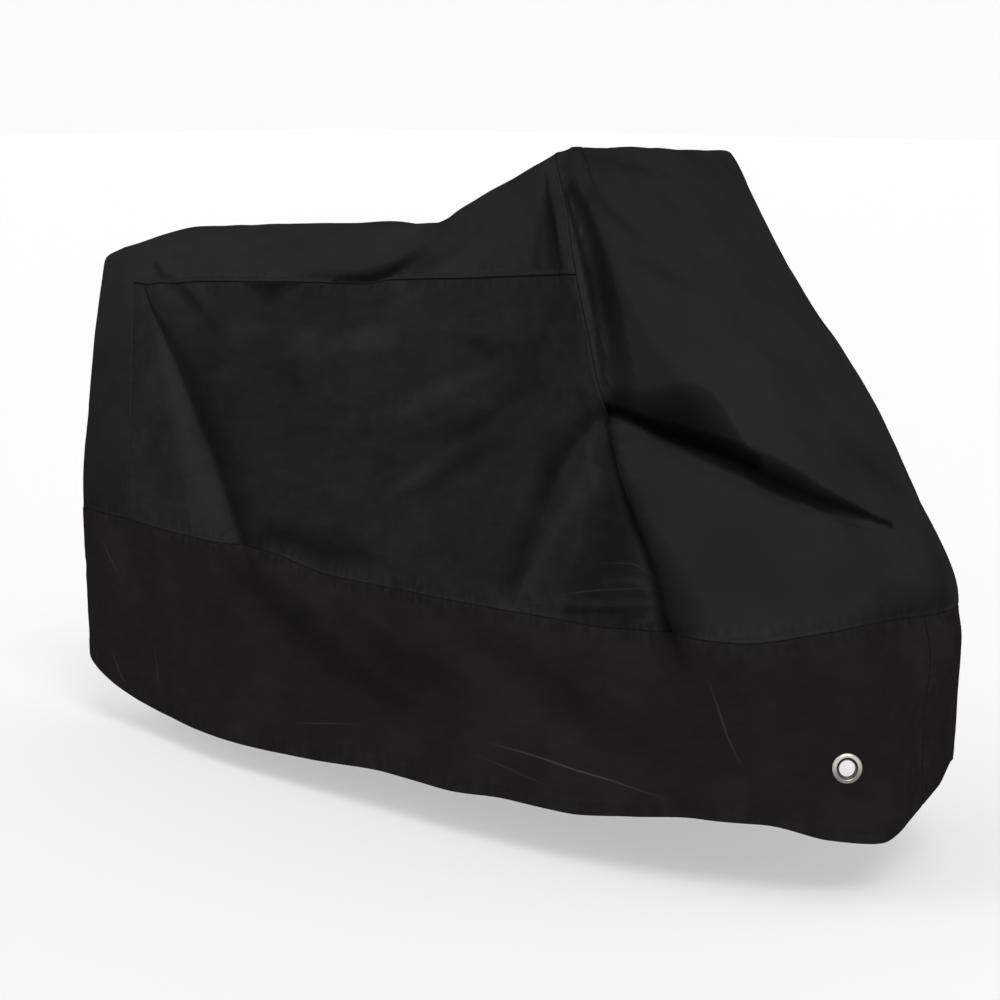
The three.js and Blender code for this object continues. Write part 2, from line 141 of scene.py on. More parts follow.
def between(a, b, c, d, t):
    """Point at t between b and c: the cubic through b and c whose end slopes are harmonic means."""

    def slope(p, q):
        same = p * q > 0
        return np.where(same, 2 * p * q / np.where(same, p + q, 1), 0)

    t = np.asarray(t)[..., None]
    step = c - b
    start, end = slope(b - a, step), slope(step, d - c)
    return (b * (2 * t**3 - 3 * t**2 + 1) + start * (t**3 - 2 * t**2 + t)
            + c * (3 * t**2 - 2 * t**3) + end * (t**3 - t**2))


ends_on = np.concatenate([2 * SECTIONS[:, :1] - SECTIONS[:, 1:2], SECTIONS,
                          2 * SECTIONS[:, -1:] - SECTIONS[:, -2:-1]], axis=1)


def on_section(i, v):
    """Points at levels v on the sections numbered i, between the four section points round each level."""
    k = np.clip(np.floor(v).astype(int), 0, HEM - 1)
    four = [ends_on[np.mod(i, ROUND), k + j] for j in range(4)]
    return between(*four, v - k)


def on_sheet(u, v):
    """Points of the sheet at section numbers u and levels v: four neighbouring sections, blended round."""
    u, v = np.broadcast_arrays(np.asarray(u, float), np.asarray(v, float))
    i = np.floor(u).astype(int)
    return between(*[on_section(i + j, v) for j in (-1, 0, 1, 2)], u - i)


def sheet_normals(u, v, step=0.02):
    """Outward normals of the sheet: the way down crossed with the way round, from small steps."""
    u, v = np.broadcast_arrays(np.asarray(u, float), np.asarray(v, float))
    low, high = np.maximum(v - step, 0), np.minimum(v + step, HEM)
    out = np.cross(on_sheet(u, high) - on_sheet(u, low), on_sheet(u + step, v) - on_sheet(u - step, v))
    return out / np.linalg.norm(out, axis=-1, keepdims=True)


# %% [markdown]
# ## The top
# Between the shoulders the cloth spans four edges. Straight lines from shoulder to shoulder give a ruled
# surface. How far the tail's edge and the peak's edge bow away from a straight line is added to it, less and
# less further in, so the patch meets all four edges exactly. A crown on its centre line rounds the level
# part, and where the cloth rises to the peak it sags a little instead. The bowed tail edge alone would leave
# a groove inside the shoulders, so towards the tail each line across is put as an arch over its two ends.

# %% The top between the shoulders
ARCH_UP_TO, ARCH_FADE = 0.3, 0.15
CROWN_ALONG = (0, 0.14, 0.43, 0.57, 0.78, 1)
CROWN_RISE = (0, 37, 31, -14, -22, 0)
SHOULDER_ALONG = (0, 0.15, 0.3, 0.45, 0.6, 0.75, 1)


def smooth(t):
    """0 below 0 and 1 above 1, with level ends between."""
    t = np.clip(t, 0, 1)
    return t * t * (3 - 2 * t)


def spanned(a, b):
    """Points between the four edges, a from the tail to the peak and b from right to left."""
    a, b = np.broadcast_arrays(np.asarray(a, float), np.asarray(b, float))
    shoulder = np.interp(a, SHOULDER_ALONG, np.arange(TAIL_FOLD, UPRIGHT + 1))
    edge = [on_sheet(place, np.zeros_like(a)) for place in
            (shoulder, ROUND - shoulder, TAIL_FOLD - 2 * TAIL_FOLD * b, UPRIGHT + (ROUND - 2 * UPRIGHT) * b)]
    corner = [on_sheet(place, 0.0) for place in (TAIL_FOLD, ROUND - TAIL_FOLD, UPRIGHT, ROUND - UPRIGHT)]
    a, b = a[..., None], b[..., None]
    near_peak = smooth(2 * a - 1)
    point = ((1 - b) * edge[0] + b * edge[1] + (1 - a) * (edge[2] - (1 - b) * corner[0] - b * corner[1])
             + near_peak * (edge[3] - (1 - b) * corner[2] - b * corner[3]))
    across = edge[1] - edge[0]
    passed = ((point - edge[0]) * across).sum(-1, keepdims=True)
    share = np.clip(passed / (across**2).sum(-1, keepdims=True), 0, 1)
    return point + np.interp(a, CROWN_ALONG, CROWN_RISE) * 4 * share * (1 - share) * (0, 0, 1)


# The rim runs from the middle of the tail along the right shoulder, as far as the arch reaches
LEVEL_FRONT = 7
RIM = on_sheet(np.linspace(0, LEVEL_FRONT, 120), 0.0)
MIDDLE = spanned(np.linspace(0, 0.5, 80), 0.5)


def on_top(a, b):
    """Points of the top. Towards the tail the height is a parabola from the rim up to the middle."""
    point = spanned(a, b)
    x, y = point[..., 0], point[..., 1]
    low, half = np.interp(x, RIM[:, 0], RIM[:, 2]), np.interp(x, RIM[:, 0], -RIM[:, 1])
    high = np.interp(x, MIDDLE[:, 0], MIDDLE[:, 2])
    arch = low + (high - low) * np.clip(1 - (y / np.maximum(half, 1)) ** 2, 0, 1)
    arched = 1 - smooth((np.asarray(a, float) - ARCH_UP_TO) / ARCH_FADE)
    point[..., 2] += arched * (arch - point[..., 2])
    return point


def top_normals(a, b, step=0.01):
    """Upward normals of the top from small steps."""
    a, b = np.broadcast_arrays(np.asarray(a, float), np.asarray(b, float))
    lo, hi = lambda x: np.maximum(x - step, 0), lambda x: np.minimum(x + step, 1)
    out = np.cross(on_top(hi(a), b) - on_top(lo(a), b), on_top(a, hi(b)) - on_top(a, lo(b)))
    return out / np.linalg.norm(out, axis=-1, keepdims=True)


# %% [markdown]
# ## Folds and creases
# On the real cover the big folds run out from one snag on the upright seam, and one long fold falls from
# the tail corner. Painting them by hand would be quick but flat, so each is real depth in the cloth, and its
# dark is painted shade as well, from the table of shades below. Each is a row here: the places it runs
# through, how far it reaches above and below its line, and how deep it is at its start, middle and end.
# A fold's bottom is crisp and its sides flatten out, so its depth falls off as a power of the distance.
# A soft hollow or a ridge falls off as a bell. For a row that runs down the cloth, above means the right.

# %% Tables of folds
# Columns: name, places (section, level), reach above, reach below, depth (start, middle, end),
# share of the reach (start, middle, end), power above, power below. Power 0 is the soft bell.
LONG_FOLD = [(10.0, 3.02), (10.58, 3.08), (11.25, 3.09), (12.05, 3.06), (12.85, 3.06), (13.62, 3.1),
             (14.1, 3.1)]
NODE_FOLD = [(9.96, 3.04), (9.86, 3.2), (9.78, 3.36), (9.8, 3.5), (9.88, 3.62), (9.94, 3.74), (9.95, 3.88),
             (9.96, 4.02)]
TAIL_CREASE = [(2.78, 2.1), (3.0, 2.44), (3.17, 2.64), (3.37, 2.84), (3.6, 3.06), (3.66, 3.3), (3.6, 3.52),
               (3.54, 3.8), (3.56, 4.1)]
NODE_VALLEY = [(9.8, 3.03), (9.18, 3.07), (8.78, 3.14), (8.47, 3.23), (8.25, 3.38), (8.05, 3.53),
               (7.87, 3.7), (7.7, 3.86)]
NODE_BAND = [(9.1, 3.28), (8.76, 3.44), (8.4, 3.6), (8.08, 3.8), (7.6, 3.97)]
SEAM_VALLEY = [(10.38, 0.9), (10.42, 1.3), (10.56, 1.66), (10.68, 1.96), (10.66, 2.14), (10.52, 2.4),
               (10.4, 2.66)]
FOLDS = [
    ("long front fold", LONG_FOLD, 95, 26, (3, 30, 0), (0.3, 1, 0.35), 2, 1.7),
    ("over the long fold", [(10.2, 2.93), (10.9, 2.76), (11.4, 2.72), (12.1, 2.82)], 60, 46, (2, 8, 2),
     (0.5, 1, 0.5), 2, 2),
    ("bulge under it", [(10.3, 3.25), (12.8, 3.5)], 75, 110, (-5, -11, -4), (0.5, 1, 1), 0, 0),
    ("below the node", NODE_FOLD, 26, 80, (3, 20, 16), (0.4, 1, 1), 1.7, 2),
    ("in the triangle", [(9.5, 3.4), (9.35, 3.6), (9.35, 3.82), (9.4, 3.98)], 50, 50, (2, 8, 8),
     (0.4, 1, 1.2), 0, 0),
    ("node to the left", NODE_VALLEY, 40, 48, (3, 11, 7), (0.35, 1, 1), 0, 0),
    ("band beside it", NODE_BAND, 26, 26, (-2, -5, -4), (0.6, 1, 1), 0, 0),
    ("rear of the seam", [(9.42, 0.5), (9.41, 1.2), (9.46, 2.0), (9.6, 2.3)], 32, 60, (0, 9, 11),
     (0.5, 0.9, 1.2), 2, 2),
    ("front of the seam", SEAM_VALLEY, 56, 28, (0, 15, 4), (0.4, 1, 0.5), 2, 2),
    ("tail fold", TAIL_CREASE, 95, 46, (3, 21, 16), (0.3, 1, 1.1), 2, 2),
    ("tail facet", [(2.95, 2.6), (3.1, 3.3), (3.15, 3.96)], 64, 50, (-1, -6, -4), (0.5, 1, 1), 0, 0),
    ("second tail fold", [(3.38, 1.2), (4.0, 1.75), (4.4, 2.02), (4.8, 2.42)], 34, 34, (2, 6, 1),
     (0.6, 1, 0.6), 2, 2),
    ("foot of the rise", [(6.38, 1.9), (6.65, 1.8), (6.88, 1.5), (7.05, 1.2), (7.25, 0.75)], 44, 44,
     (5, 11, 0), (0.8, 1, 0.8), 0, 0),
    ("left tail fold", [(24.3, 2.1), (23.9, 2.9), (23.6, 4.1)], 80, 60, (4, 20, 12), (0.35, 1, 1), 2, 2),
    ("left long fold", [(17.95, 3.0), (16.0, 3.1)], 80, 40, (3, 22, 1), (0.25, 1, 0.4), 2, 1.7),
    ("left below the node", [(18.0, 3.05), (17.9, 4.0)], 60, 60, (3, 18, 10), (0.3, 1, 1), 2, 2),
    ("skirt's front", [(12.6, 4.25), (16.2, 4.3)], 60, 90, (-2, -8, -8), (1, 1, 1), 0, 0),
    ("left swag", [(22.9, 3.2), (21.6, 3.02), (20.3, 2.72), (19.2, 2.5)], 44, 40, (2, 9, 2), (0.7, 1, 0.7),
     0, 0),
    ("left low swag", [(23.0, 3.55), (21.4, 3.4), (19.8, 3.1), (18.6, 2.98)], 44, 40, (2, 8, 4),
     (0.7, 1, 0.5), 0, 0),
    ("left node to the rear", [(18.2, 3.03), (19.2, 3.2), (19.9, 3.5), (20.3, 3.86)], 40, 46, (3, 10, 6),
     (0.35, 1, 1), 0, 0),
    ("left skirt band", [(24.6, 4.15), (23.4, 4.45), (21.6, 4.6)], 60, 60, (4, 9, 3), (0.7, 1, 0.8), 0, 0),
]
# Shallow ones that only the light finds
SOFT_FOLDS = [
    ("swag, ridge", [(6.3, 3.02), (7.2, 2.84), (8.1, 2.64)], 34, 30, (-2, -6, -2), (0.7, 1, 0.7), 0, 0),
    ("swag, valley", [(6.5, 3.12), (7.3, 3.04), (7.9, 2.88), (8.5, 2.76)], 26, 28, (2, 6, 2),
     (0.7, 1, 0.8), 0, 0),
    ("low swag, ridge", [(6.1, 3.46), (6.73, 3.32), (7.3, 3.14)], 28, 26, (-2, -6, -2), (0.7, 1, 0.8), 0,
     0),
    ("low swag, valley", [(6.5, 3.46), (7.33, 3.22), (7.8, 3.1)], 28, 28, (2, 5, 2), (0.7, 1, 0.8), 0, 0),
    ("side blotch", [(6.2, 2.55), (6.6, 2.54), (7.0, 2.56)], 20, 20, (-2, -4, -2), (0.8, 1, 0.8), 0, 0),
    ("rear swag", [(5.0, 2.9), (5.7, 3.2), (6.3, 3.3)], 40, 40, (2, 5, 2), (0.7, 1, 0.8), 0, 0),
    ("foot of the tail fold", [(4.3, 3.9), (5.0, 3.8), (5.8, 3.93)], 34, 34, (5, 8, 3), (0.8, 1, 0.6), 0,
     0),
    ("front face, high", [(10.8, 1.3), (11.75, 1.65)], 22, 24, (2, 5, 1), (0.5, 1, 0.5), 0, 0),
    ("front face, low", [(11.45, 1.72), (12.3, 1.85)], 24, 26, (1, 4, 1), (0.5, 1, 0.5), 0, 0),
    ("under the crest", [(10.9, 1.16), (13.5, 1.22)], 16, 26, (2, 4, 1), (0.6, 1, 0.6), 0, 0),
    ("by the left ridge", [(13.8, 2.4), (14.7, 2.7)], 40, 40, (2, 6, 2), (0.7, 1, 0.7), 0, 0),
    ("skirt, upper band", [(3.3, 4.12), (4.3, 4.39), (5.25, 4.57), (6.3, 4.62)], 60, 60, (4, 9, 3),
     (0.7, 1, 0.8), 0, 0),
    ("skirt, lower band", [(4.8, 4.22), (5.6, 4.4), (6.6, 4.5)], 46, 50, (3, 7, 2), (0.7, 1, 0.8), 0, 0),
    ("skirt, under the seam", [(10.1, 4.02), (10.6, 4.3), (10.9, 4.7)], 36, 46, (8, 6, 2), (0.8, 1, 0.8),
     0, 0),
    ("skirt, flank", [(7.6, 4.3), (8.6, 4.5), (9.8, 4.55)], 50, 50, (1, 5, 1), (0.7, 1, 0.7), 0, 0),
]
print(len(FOLDS), "folds and", len(SOFT_FOLDS), "soft ones")

# %% [markdown]
# ## The dark of the folds
# Black cloth that turns away from the light goes almost fully black, and in soft light it is the only thing
# that shows a fold. The light alone can't do this for cloth a few millimetres deep, so each place keeps a
# shade too, from rows like those of the folds. The finish is darker there, and paler where a row is negative.

# %% Table of shades
# Columns: name, places, reach above, reach below, strength (start, middle, end), share of the reach
# (start, middle, end), power above, power below, and the panels that have it (none named means all).
SIDE, TOP, FRONT, SKIRT = "cloth_side", "cloth_top", "cloth_front", "cloth_skirt"
FLANKS = (SIDE, FRONT)
SHADES = [
    ("long fold", [(10.03, 3.0), (10.5, 3.0), (11.1, 2.98), (11.75, 2.96), (12.45, 2.95), (13.28, 2.97),
     (14.0, 3.07)], 26, 21, (0.8, 0.86, 0.8), (0.36, 1, 0.17), 0.35, 0.25, FRONT),
    ("over the long fold", [(10.12, 3.0), (10.5, 2.99), (10.95, 2.97), (11.4, 2.96), (11.95, 2.95)], 84, 14,
     (0.66, 0.86, 0.72), (0.4, 0.94, 0.24), 0.34, 0.4, FRONT),
    ("tail fold", TAIL_CREASE, 64, 8, (0.5, 0.42, 0.42), (0.1, 0.8, 1.2), 0.8, 1, SIDE),
    ("tail fold, soft", TAIL_CREASE, 130, 3, (0.1, 0.22, 0.3), (0.3, 0.8, 1), 0.8, 1, SIDE),
    ("second tail fold", [(3.38, 1.2), (4.0, 1.75), (4.4, 2.02), (4.8, 2.42)], 10, 16, (0.4, 0.45, 0.15),
     (0.6, 1, 1), 0.8, 0.8, ""),
    ("under the strip seam", [(5.42, 2.05), (5.7, 2.08), (5.98, 2.05)], 12, 32, (0.4, 0.55, 0.4),
     (0.2, 1, 0.2), 0.6, 0.6, SIDE),
    ("bright blotch", [(6.36, 2.48), (6.85, 2.48)], 15, 15, (-0.3, -0.42, -0.3), (0.6, 1, 0.6), 0.6, 0.6,
     SIDE),
    ("upper bright", [(5.6, 2.52), (6.23, 2.56), (6.8, 2.52)], 46, 40, (-0.12, -0.28, -0.2), (0.8, 1, 0.7),
     0.8, 0.8, SIDE),
    ("dark blotch", [(7.55, 2.5), (7.85, 2.55), (8.1, 2.6)], 20, 18, (0.15, 0.25, 0.15), (0.8, 1, 0.6),
     0.8, 0.8, SIDE),
    ("strip blotch", [(7.72, 1.86), (7.98, 1.86)], 10, 10, (-0.3, -0.4, -0.3), (1, 1, 1), 0.8, 0.8, TOP),
    ("peak's corner", [(9.58, 0.16), (9.8, 0.3)], 26, 26, (-0.2, -0.3, -0.2), (1, 1, 1), 1, 1, TOP),
    ("by the seam, rear", [(9.45, 0.3), (9.42, 0.72), (9.42, 1.38), (9.5, 1.98)], 24, 34, (0.55, 0.66, 0.5),
     (0.15, 0.9, 1.35), 0.4, 0.6, TOP),
    ("by the seam, rear, wide", [(9.25, 0.68), (9.08, 1.12), (8.9, 1.98)], 70, 14, (0.15, 0.25, 0.28),
     (0.3, 0.8, 1.2), 0.6, 1, TOP),
    ("seam band", [(9.97, 0.4), (9.9, 0.9), (9.98, 1.44), (10.06, 1.8), (10.1, 2.12), (10.1, 2.4),
     (10.05, 2.82)], 9, 10, (-0.3, -0.34, -0.15), (1, 1, 0.7), 0.5, 0.5, ""),
    ("seam line", [(10.1, 0.72), (10.13, 1.04), (10.18, 1.4), (10.24, 1.7), (10.28, 2.02), (10.25, 2.34),
     (10.2, 2.56), (10.12, 2.84)], 5, 5, (0.5, 0.62, 0.5), (0.7, 1, 1), 0.5, 0.5, FRONT),
    ("thin band", [(10.28, 1.0), (10.34, 1.46), (10.42, 1.74), (10.45, 2.0), (10.38, 2.3), (10.3, 2.56)],
     5, 5, (-0.25, -0.3, -0.2), (1, 1, 1), 0.6, 0.6, FRONT),
    ("seam valley", [(10.32, 0.9), (10.34, 1.2), (10.45, 1.5), (10.6, 1.82), (10.64, 2.1), (10.58, 2.34),
     (10.5, 2.56), (10.42, 2.74), (10.34, 2.88)], 19, 14, (0.6, 0.6, 0.42), (0.7, 0.9, 1), 0.3, 0.3, FRONT),
    ("right of the valley", [(10.9, 1.6), (11.0, 2.02), (11.1, 2.24), (11.2, 2.46), (11.3, 2.66)], 22, 150,
     (0.05, 0.2, 0.2), (0.1, 0.5, 0.8), 1, 0.7, FRONT),
    ("node", [(9.97, 2.99), (10.05, 3.03)], 16, 16, (0.5, 0.6, 0.6), (1, 1, 1), 1, 1, ""),
    ("below the node", NODE_FOLD, 62, 12, (0.6, 0.76, 0.66), (0.25, 0.75, 1.35), 0.7, 0.8, FLANKS),
    ("triangle", [(9.78, 3.2), (9.45, 3.44), (9.27, 3.64), (9.18, 3.86), (9.18, 4.0)], 100, 106,
     (0.3, 0.46, 0.44), (0.06, 0.5, 1.05), 0.3, 0.45, SIDE),
    ("crumple ridge", [(9.62, 3.1), (9.25, 3.24), (9.3, 3.36)], 10, 10, (-0.3, -0.45, -0.3), (1, 1, 1),
     0.6, 0.6, SIDE),
    ("bottom crease", [(8.5, 3.9), (9.22, 3.88), (9.9, 3.86)], 5, 5, (-0.3, -0.5, -0.4), (1, 1, 1), 0.7,
     0.7, SIDE),
    ("bottom crease, dark", [(8.53, 3.94), (9.1, 3.91), (9.7, 3.9)], 5, 5, (0.4, 0.4, 0.1), (1, 1, 1), 0.7,
     0.7, SIDE),
    ("bottom arc", [(9.15, 3.78), (9.6, 3.77), (9.95, 3.85)], 6, 6, (-0.3, -0.4, -0.3), (1, 1, 1), 0.7,
     0.7, SIDE),
    ("low arc", [(9.45, 3.97), (9.8, 3.92), (9.96, 3.88)], 6, 6, (-0.3, -0.4, -0.3), (1, 1, 1), 0.7, 0.7,
     SIDE),
    ("node to the left", NODE_VALLEY, 22, 26, (0.4, 0.42, 0.34), (0.4, 1, 1.2), 0.5, 0.6, SIDE),
    ("side, low", [(4.6, 3.78), (6.45, 3.8), (8.45, 3.84)], 80, 60, (0.26, 0.2, 0.18), (1, 1, 1), 0.8, 0.8,
     SIDE),
    ("upper left, bright", [(5.05, 2.44), (5.98, 2.42)], 34, 30, (-0.3, -0.16, -0.05), (1, 1, 1), 0.8, 0.8,
     SIDE),
    ("between the swags", [(7.2, 2.86), (7.95, 2.86)], 22, 22, (-0.15, -0.24, -0.18), (1, 1, 1), 0.8, 0.8,
     SIDE),
    ("side, rear dusk", [(5.45, 2.86), (5.2, 3.2), (5.05, 3.5)], 60, 60, (0.16, 0.16, 0.12), (1, 1, 1),
     0.8, 0.8, SIDE),
    ("band beside it", NODE_BAND, 22, 20, (-0.1, -0.25, -0.25), (0.6, 1, 1), 0.7, 0.7, SIDE),
    ("swag, ridge", [(6.3, 3.02), (7.15, 2.84), (8.0, 2.66)], 32, 22, (-0.15, -0.4, -0.15), (0.7, 1, 0.7),
     0.8, 0.8, SIDE),
    ("swag, valley", [(6.5, 3.12), (7.3, 3.04), (7.9, 2.88), (8.5, 2.76)], 18, 24, (0.15, 0.35, 0.15),
     (0.8, 1, 0.8), 1, 1, SIDE),
    ("low swag, ridge", [(6.1, 3.46), (6.73, 3.32), (7.3, 3.14)], 20, 18, (-0.1, -0.25, -0.1),
     (0.8, 1, 0.8), 1, 1, SIDE),
    ("low swag, valley", [(6.5, 3.46), (7.33, 3.22), (7.8, 3.1)], 18, 22, (0.1, 0.3, 0.15), (0.8, 1, 0.8),
     1, 1, SIDE),
    ("side blotch", [(6.2, 2.55), (6.6, 2.54), (7.0, 2.56)], 14, 14, (-0.1, -0.3, -0.1), (0.8, 1, 0.8), 1,
     1, SIDE),
    ("side panel", [(5.2, 2.5), (7.0, 3.0), (8.6, 2.8)], 170, 220, (0.2, 0.2, 0.18), (1, 1, 1), 0.5, 0.5,
     SIDE),
    ("foot of the tail fold", [(4.2, 3.86), (5.6, 3.84)], 34, 30, (0.4, 0.45, 0.2), (1, 1, 1), 1, 1, SIDE),
    ("tail", [(1.4, 1.95), (1.45, 3.0), (1.5, 4.0)], 170, 170, (0.02, 0.22, 0.42), (1, 1, 1), 0.3, 0.3,
     TOP),
    ("pale edge of the strip", [(2.2, 1.96), (6.0, 1.955), (9.7, 1.96)], 5, 5, (-0.15, -0.4, -0.35),
     (1, 1, 1), 0.6, 0.6, TOP),
    ("bright facet", [(3.0, 2.3), (2.86, 2.8), (2.96, 3.4), (3.1, 3.98)], 50, 46, (-0.1, -0.26, -0.34),
     (0.15, 0.7, 1), 0.5, 0.45, SIDE),
    ("rise's foot", [(6.38, 1.94), (6.65, 1.82), (6.88, 1.6), (7.08, 1.3), (7.4, 0.72)], 26, 28,
     (0.4, 0.74, 0.12), (0.5, 1, 0.9), 0.5, 0.6, TOP),
    ("beside the rise's foot", [(7.0, 1.62), (7.35, 1.52), (7.75, 1.5)], 30, 34, (0.3, 0.26, 0.08),
     (1, 1, 1), 0.8, 0.8, TOP),
    ("rise's foot, by the seam", [(5.9, 1.95), (6.45, 1.9), (7.1, 1.95)], 22, 12, (0.2, 0.5, 0.2),
     (0.6, 1, 0.6), 0.8, 0.8, TOP),
    ("ridge on the rise", [(7.53, 2.0), (7.95, 1.52), (8.4, 1.0)], 26, 26, (-0.1, -0.2, -0.1), (1, 1, 1),
     1, 1, TOP),
    ("front's foot", [(12.3, 4.0), (13.4, 3.97), (14.6, 3.92)], 56, 20, (0.1, 0.42, 0.42), (0.3, 1, 1.1),
     1, 1, FRONT),
    ("front, left patch", [(13.9, 2.5), (14.6, 2.7)], 60, 70, (0.2, 0.3, 0.2), (1, 1, 1), 1, 1, FRONT),
    ("front's far edge", [(15.15, 3.2), (15.05, 3.55), (14.9, 3.95)], 50, 44, (0.05, 0.25, 0.2), (1, 1, 1),
     1, 1, FRONT),
    ("front face, high", [(10.73, 1.42), (11.68, 1.65)], 18, 20, (0.3, 0.25, 0.1), (1, 1, 1), 1, 1, FRONT),
    ("front face, low", [(11.49, 1.79), (12.23, 1.8)], 18, 20, (0.15, 0.2, 0.1), (1, 1, 1), 1, 1, FRONT),
    ("under the crest", [(10.83, 1.18), (12.2, 1.22), (13.4, 1.25)], 14, 30, (0.2, 0.2, 0.1), (1, 1, 1), 1,
     1, FRONT),
    ("skirt, upper band", [(3.38, 4.15), (4.26, 4.39), (5.25, 4.57), (6.22, 4.6)], 56, 60,
     (0.3, 0.36, 0.14), (0.8, 1, 1), 1, 1, SKIRT),
    ("skirt, lower band", [(4.89, 4.25), (5.6, 4.38), (6.46, 4.48)], 40, 44, (0.22, 0.32, 0.12), (1, 1, 1),
     1, 1, SKIRT),
    ("skirt, flank", [(7.0, 4.1), (8.2, 4.4), (9.6, 4.6)], 60, 60, (0.1, 0.22, 0.1), (0.8, 1, 0.8), 1, 1,
     SKIRT),
    ("skirt, paler", [(6.0, 4.1), (7.0, 4.35), (8.6, 4.7)], 44, 44, (-0.08, -0.18, -0.08), (0.8, 1, 0.8),
     1, 1, SKIRT),
    ("skirt's front", [(11.0, 4.3), (12.6, 4.4)], 120, 130, (0.1, 0.14, 0.1), (1, 1, 1), 0.6, 0.6, SKIRT),
    ("left tail fold", [(24.3, 2.1), (23.9, 2.9), (23.6, 4.1)], 12, 74, (0.4, 0.45, 0.42),
     (0.12, 0.85, 1.2), 0.8, 0.9, SIDE),
    ("left long fold", [(17.95, 3.0), (17.2, 3.02), (16.5, 3.05), (16.0, 3.1)], 22, 26, (0.7, 0.78, 0.7),
     (0.35, 1, 0.15), 0.35, 0.35, FRONT),
    ("left below the node", [(18.0, 3.05), (17.97, 3.5), (17.92, 4.0)], 46, 34, (0.4, 0.55, 0.5),
     (0.2, 0.8, 1.3), 0.7, 0.7, FLANKS),
    ("left swag", [(22.9, 3.2), (21.6, 3.02), (20.3, 2.72), (19.2, 2.5)], 30, 26, (0.1, 0.32, 0.1),
     (0.7, 1, 0.7), 1, 1, SIDE),
    ("left swag, ridge", [(22.7, 3.0), (21.4, 2.82), (20.2, 2.56)], 26, 26, (-0.1, -0.28, -0.1),
     (0.7, 1, 0.7), 1, 1, SIDE),
    ("left low swag", [(23.0, 3.55), (21.4, 3.4), (19.8, 3.1), (18.6, 2.98)], 30, 26, (0.1, 0.3, 0.25),
     (0.7, 1, 0.5), 1, 1, SIDE),
    ("left node to the rear", [(18.2, 3.03), (19.2, 3.2), (19.9, 3.5), (20.3, 3.86)], 26, 24,
     (0.35, 0.4, 0.3), (0.4, 1, 1.2), 0.6, 0.6, SIDE),
    ("left skirt band", [(24.6, 4.15), (23.4, 4.45), (21.6, 4.6)], 56, 60, (0.28, 0.34, 0.14), (0.8, 1, 1),
     1, 1, SKIRT),
    ("skirt under the node", [(10.0, 4.0), (10.4, 4.3), (10.7, 4.66)], 26, 44, (0.4, 0.22, 0.05),
     (1, 1, 1), 1, 1, SKIRT),
]

# Sharp creases left by packing, drawn only as painted highlights, thin pale lines. Columns: name, places,
# strength, panels
CREASE_HIGHLIGHTS = [
    ("skirt, long", [(6.85, 4.72), (7.75, 4.74), (8.65, 4.8), (9.58, 4.9)], 0.9, SKIRT),
    ("skirt, under it", [(6.5, 4.79), (7.2, 4.84), (7.9, 4.89)], 0.25, SKIRT),
    ("skirt, front", [(10.48, 4.2), (10.55, 4.34), (10.62, 4.5), (10.79, 4.7)], 0.4, SKIRT),
    ("skirt, tail", [(1.6, 4.8), (1.68, 4.9), (1.78, 4.97)], 0.6, SKIRT),
    ("skirt, second", [(2.25, 4.64), (2.26, 4.78), (2.25, 4.9)], 0.5, SKIRT),
    ("skirt, high", [(1.53, 4.15), (1.65, 4.26), (1.8, 4.37)], 0.45, SKIRT),
    ("skirt, rear", [(3.9, 4.84), (4.8, 4.78)], 0.3, SKIRT),
    ("side, foot", [(8.33, 3.88), (9.1, 3.82), (9.93, 3.8)], 0.28, SIDE),
    ("side, arc", [(9.12, 3.7), (9.6, 3.7), (9.97, 3.76)], 0.22, SIDE),
]

# %% Distance from a line on the cloth


def on_line(places, count=48):
    """Points of the sheet along the smooth curve through places, evenly by the run's number."""
    places = np.array(places, float)
    padded = np.vstack([2 * places[0] - places[1], places, 2 * places[-1] - places[-2]])
    at = np.linspace(0, len(places) - 1, count)
    k = np.minimum(at.astype(int), len(places) - 2)
    u, v = between(*[padded[k + j] for j in range(4)], at - k).T
    return on_sheet(u, v)


def from_line(points, line):
    """For each point, its offset from the nearest place on the line, the length up to there, the way on."""
    start, step = line[:-1], np.diff(line, axis=0)
    length = np.linalg.norm(step, axis=1)
    rel = points[:, None] - start
    share = np.clip((rel * step).sum(-1) / length**2, 0, 1)
    offset = rel - share[..., None] * step
    best = np.argmin((offset**2).sum(-1), axis=1)
    row = np.arange(len(points))
    passed = np.concatenate([[0], np.cumsum(length)])[best] + share[row, best] * length[best]
    return offset[row, best], passed, (step / length[:, None])[best], length.sum()


FAR = 60.0


def nearest_on(points, line):
    """For each point, its distance from a long line, up to FAR, and the length along it, in short runs."""
    away, along = np.full(len(points), FAR), np.zeros(len(points))
    length = np.insert(np.cumsum(np.linalg.norm(np.diff(line, axis=0), axis=1)), 0, 0)
    for first in range(0, len(line) - 1, 45):
        run = line[first:first + 46]
        index = np.flatnonzero(((points > run.min(0) - FAR) & (points < run.max(0) + FAR)).all(1))
        if len(index):
            offset, passed, *_ = from_line(points[index], run)
            distance = np.linalg.norm(offset, axis=1)
            closer = distance < away[index]
            away[index[closer]] = distance[closer]
            along[index[closer]] = length[first] + passed[closer]
    return away, along


def three_way(s, values):
    """The three values at the start, middle and end, with smooth steps between them."""
    first, middle, last = values
    return np.where(s < 0.5, first + (middle - first) * smooth(2 * s),
                    middle + (last - middle) * smooth(2 * s - 1))


BOTTOM_RADIUS = 3.0


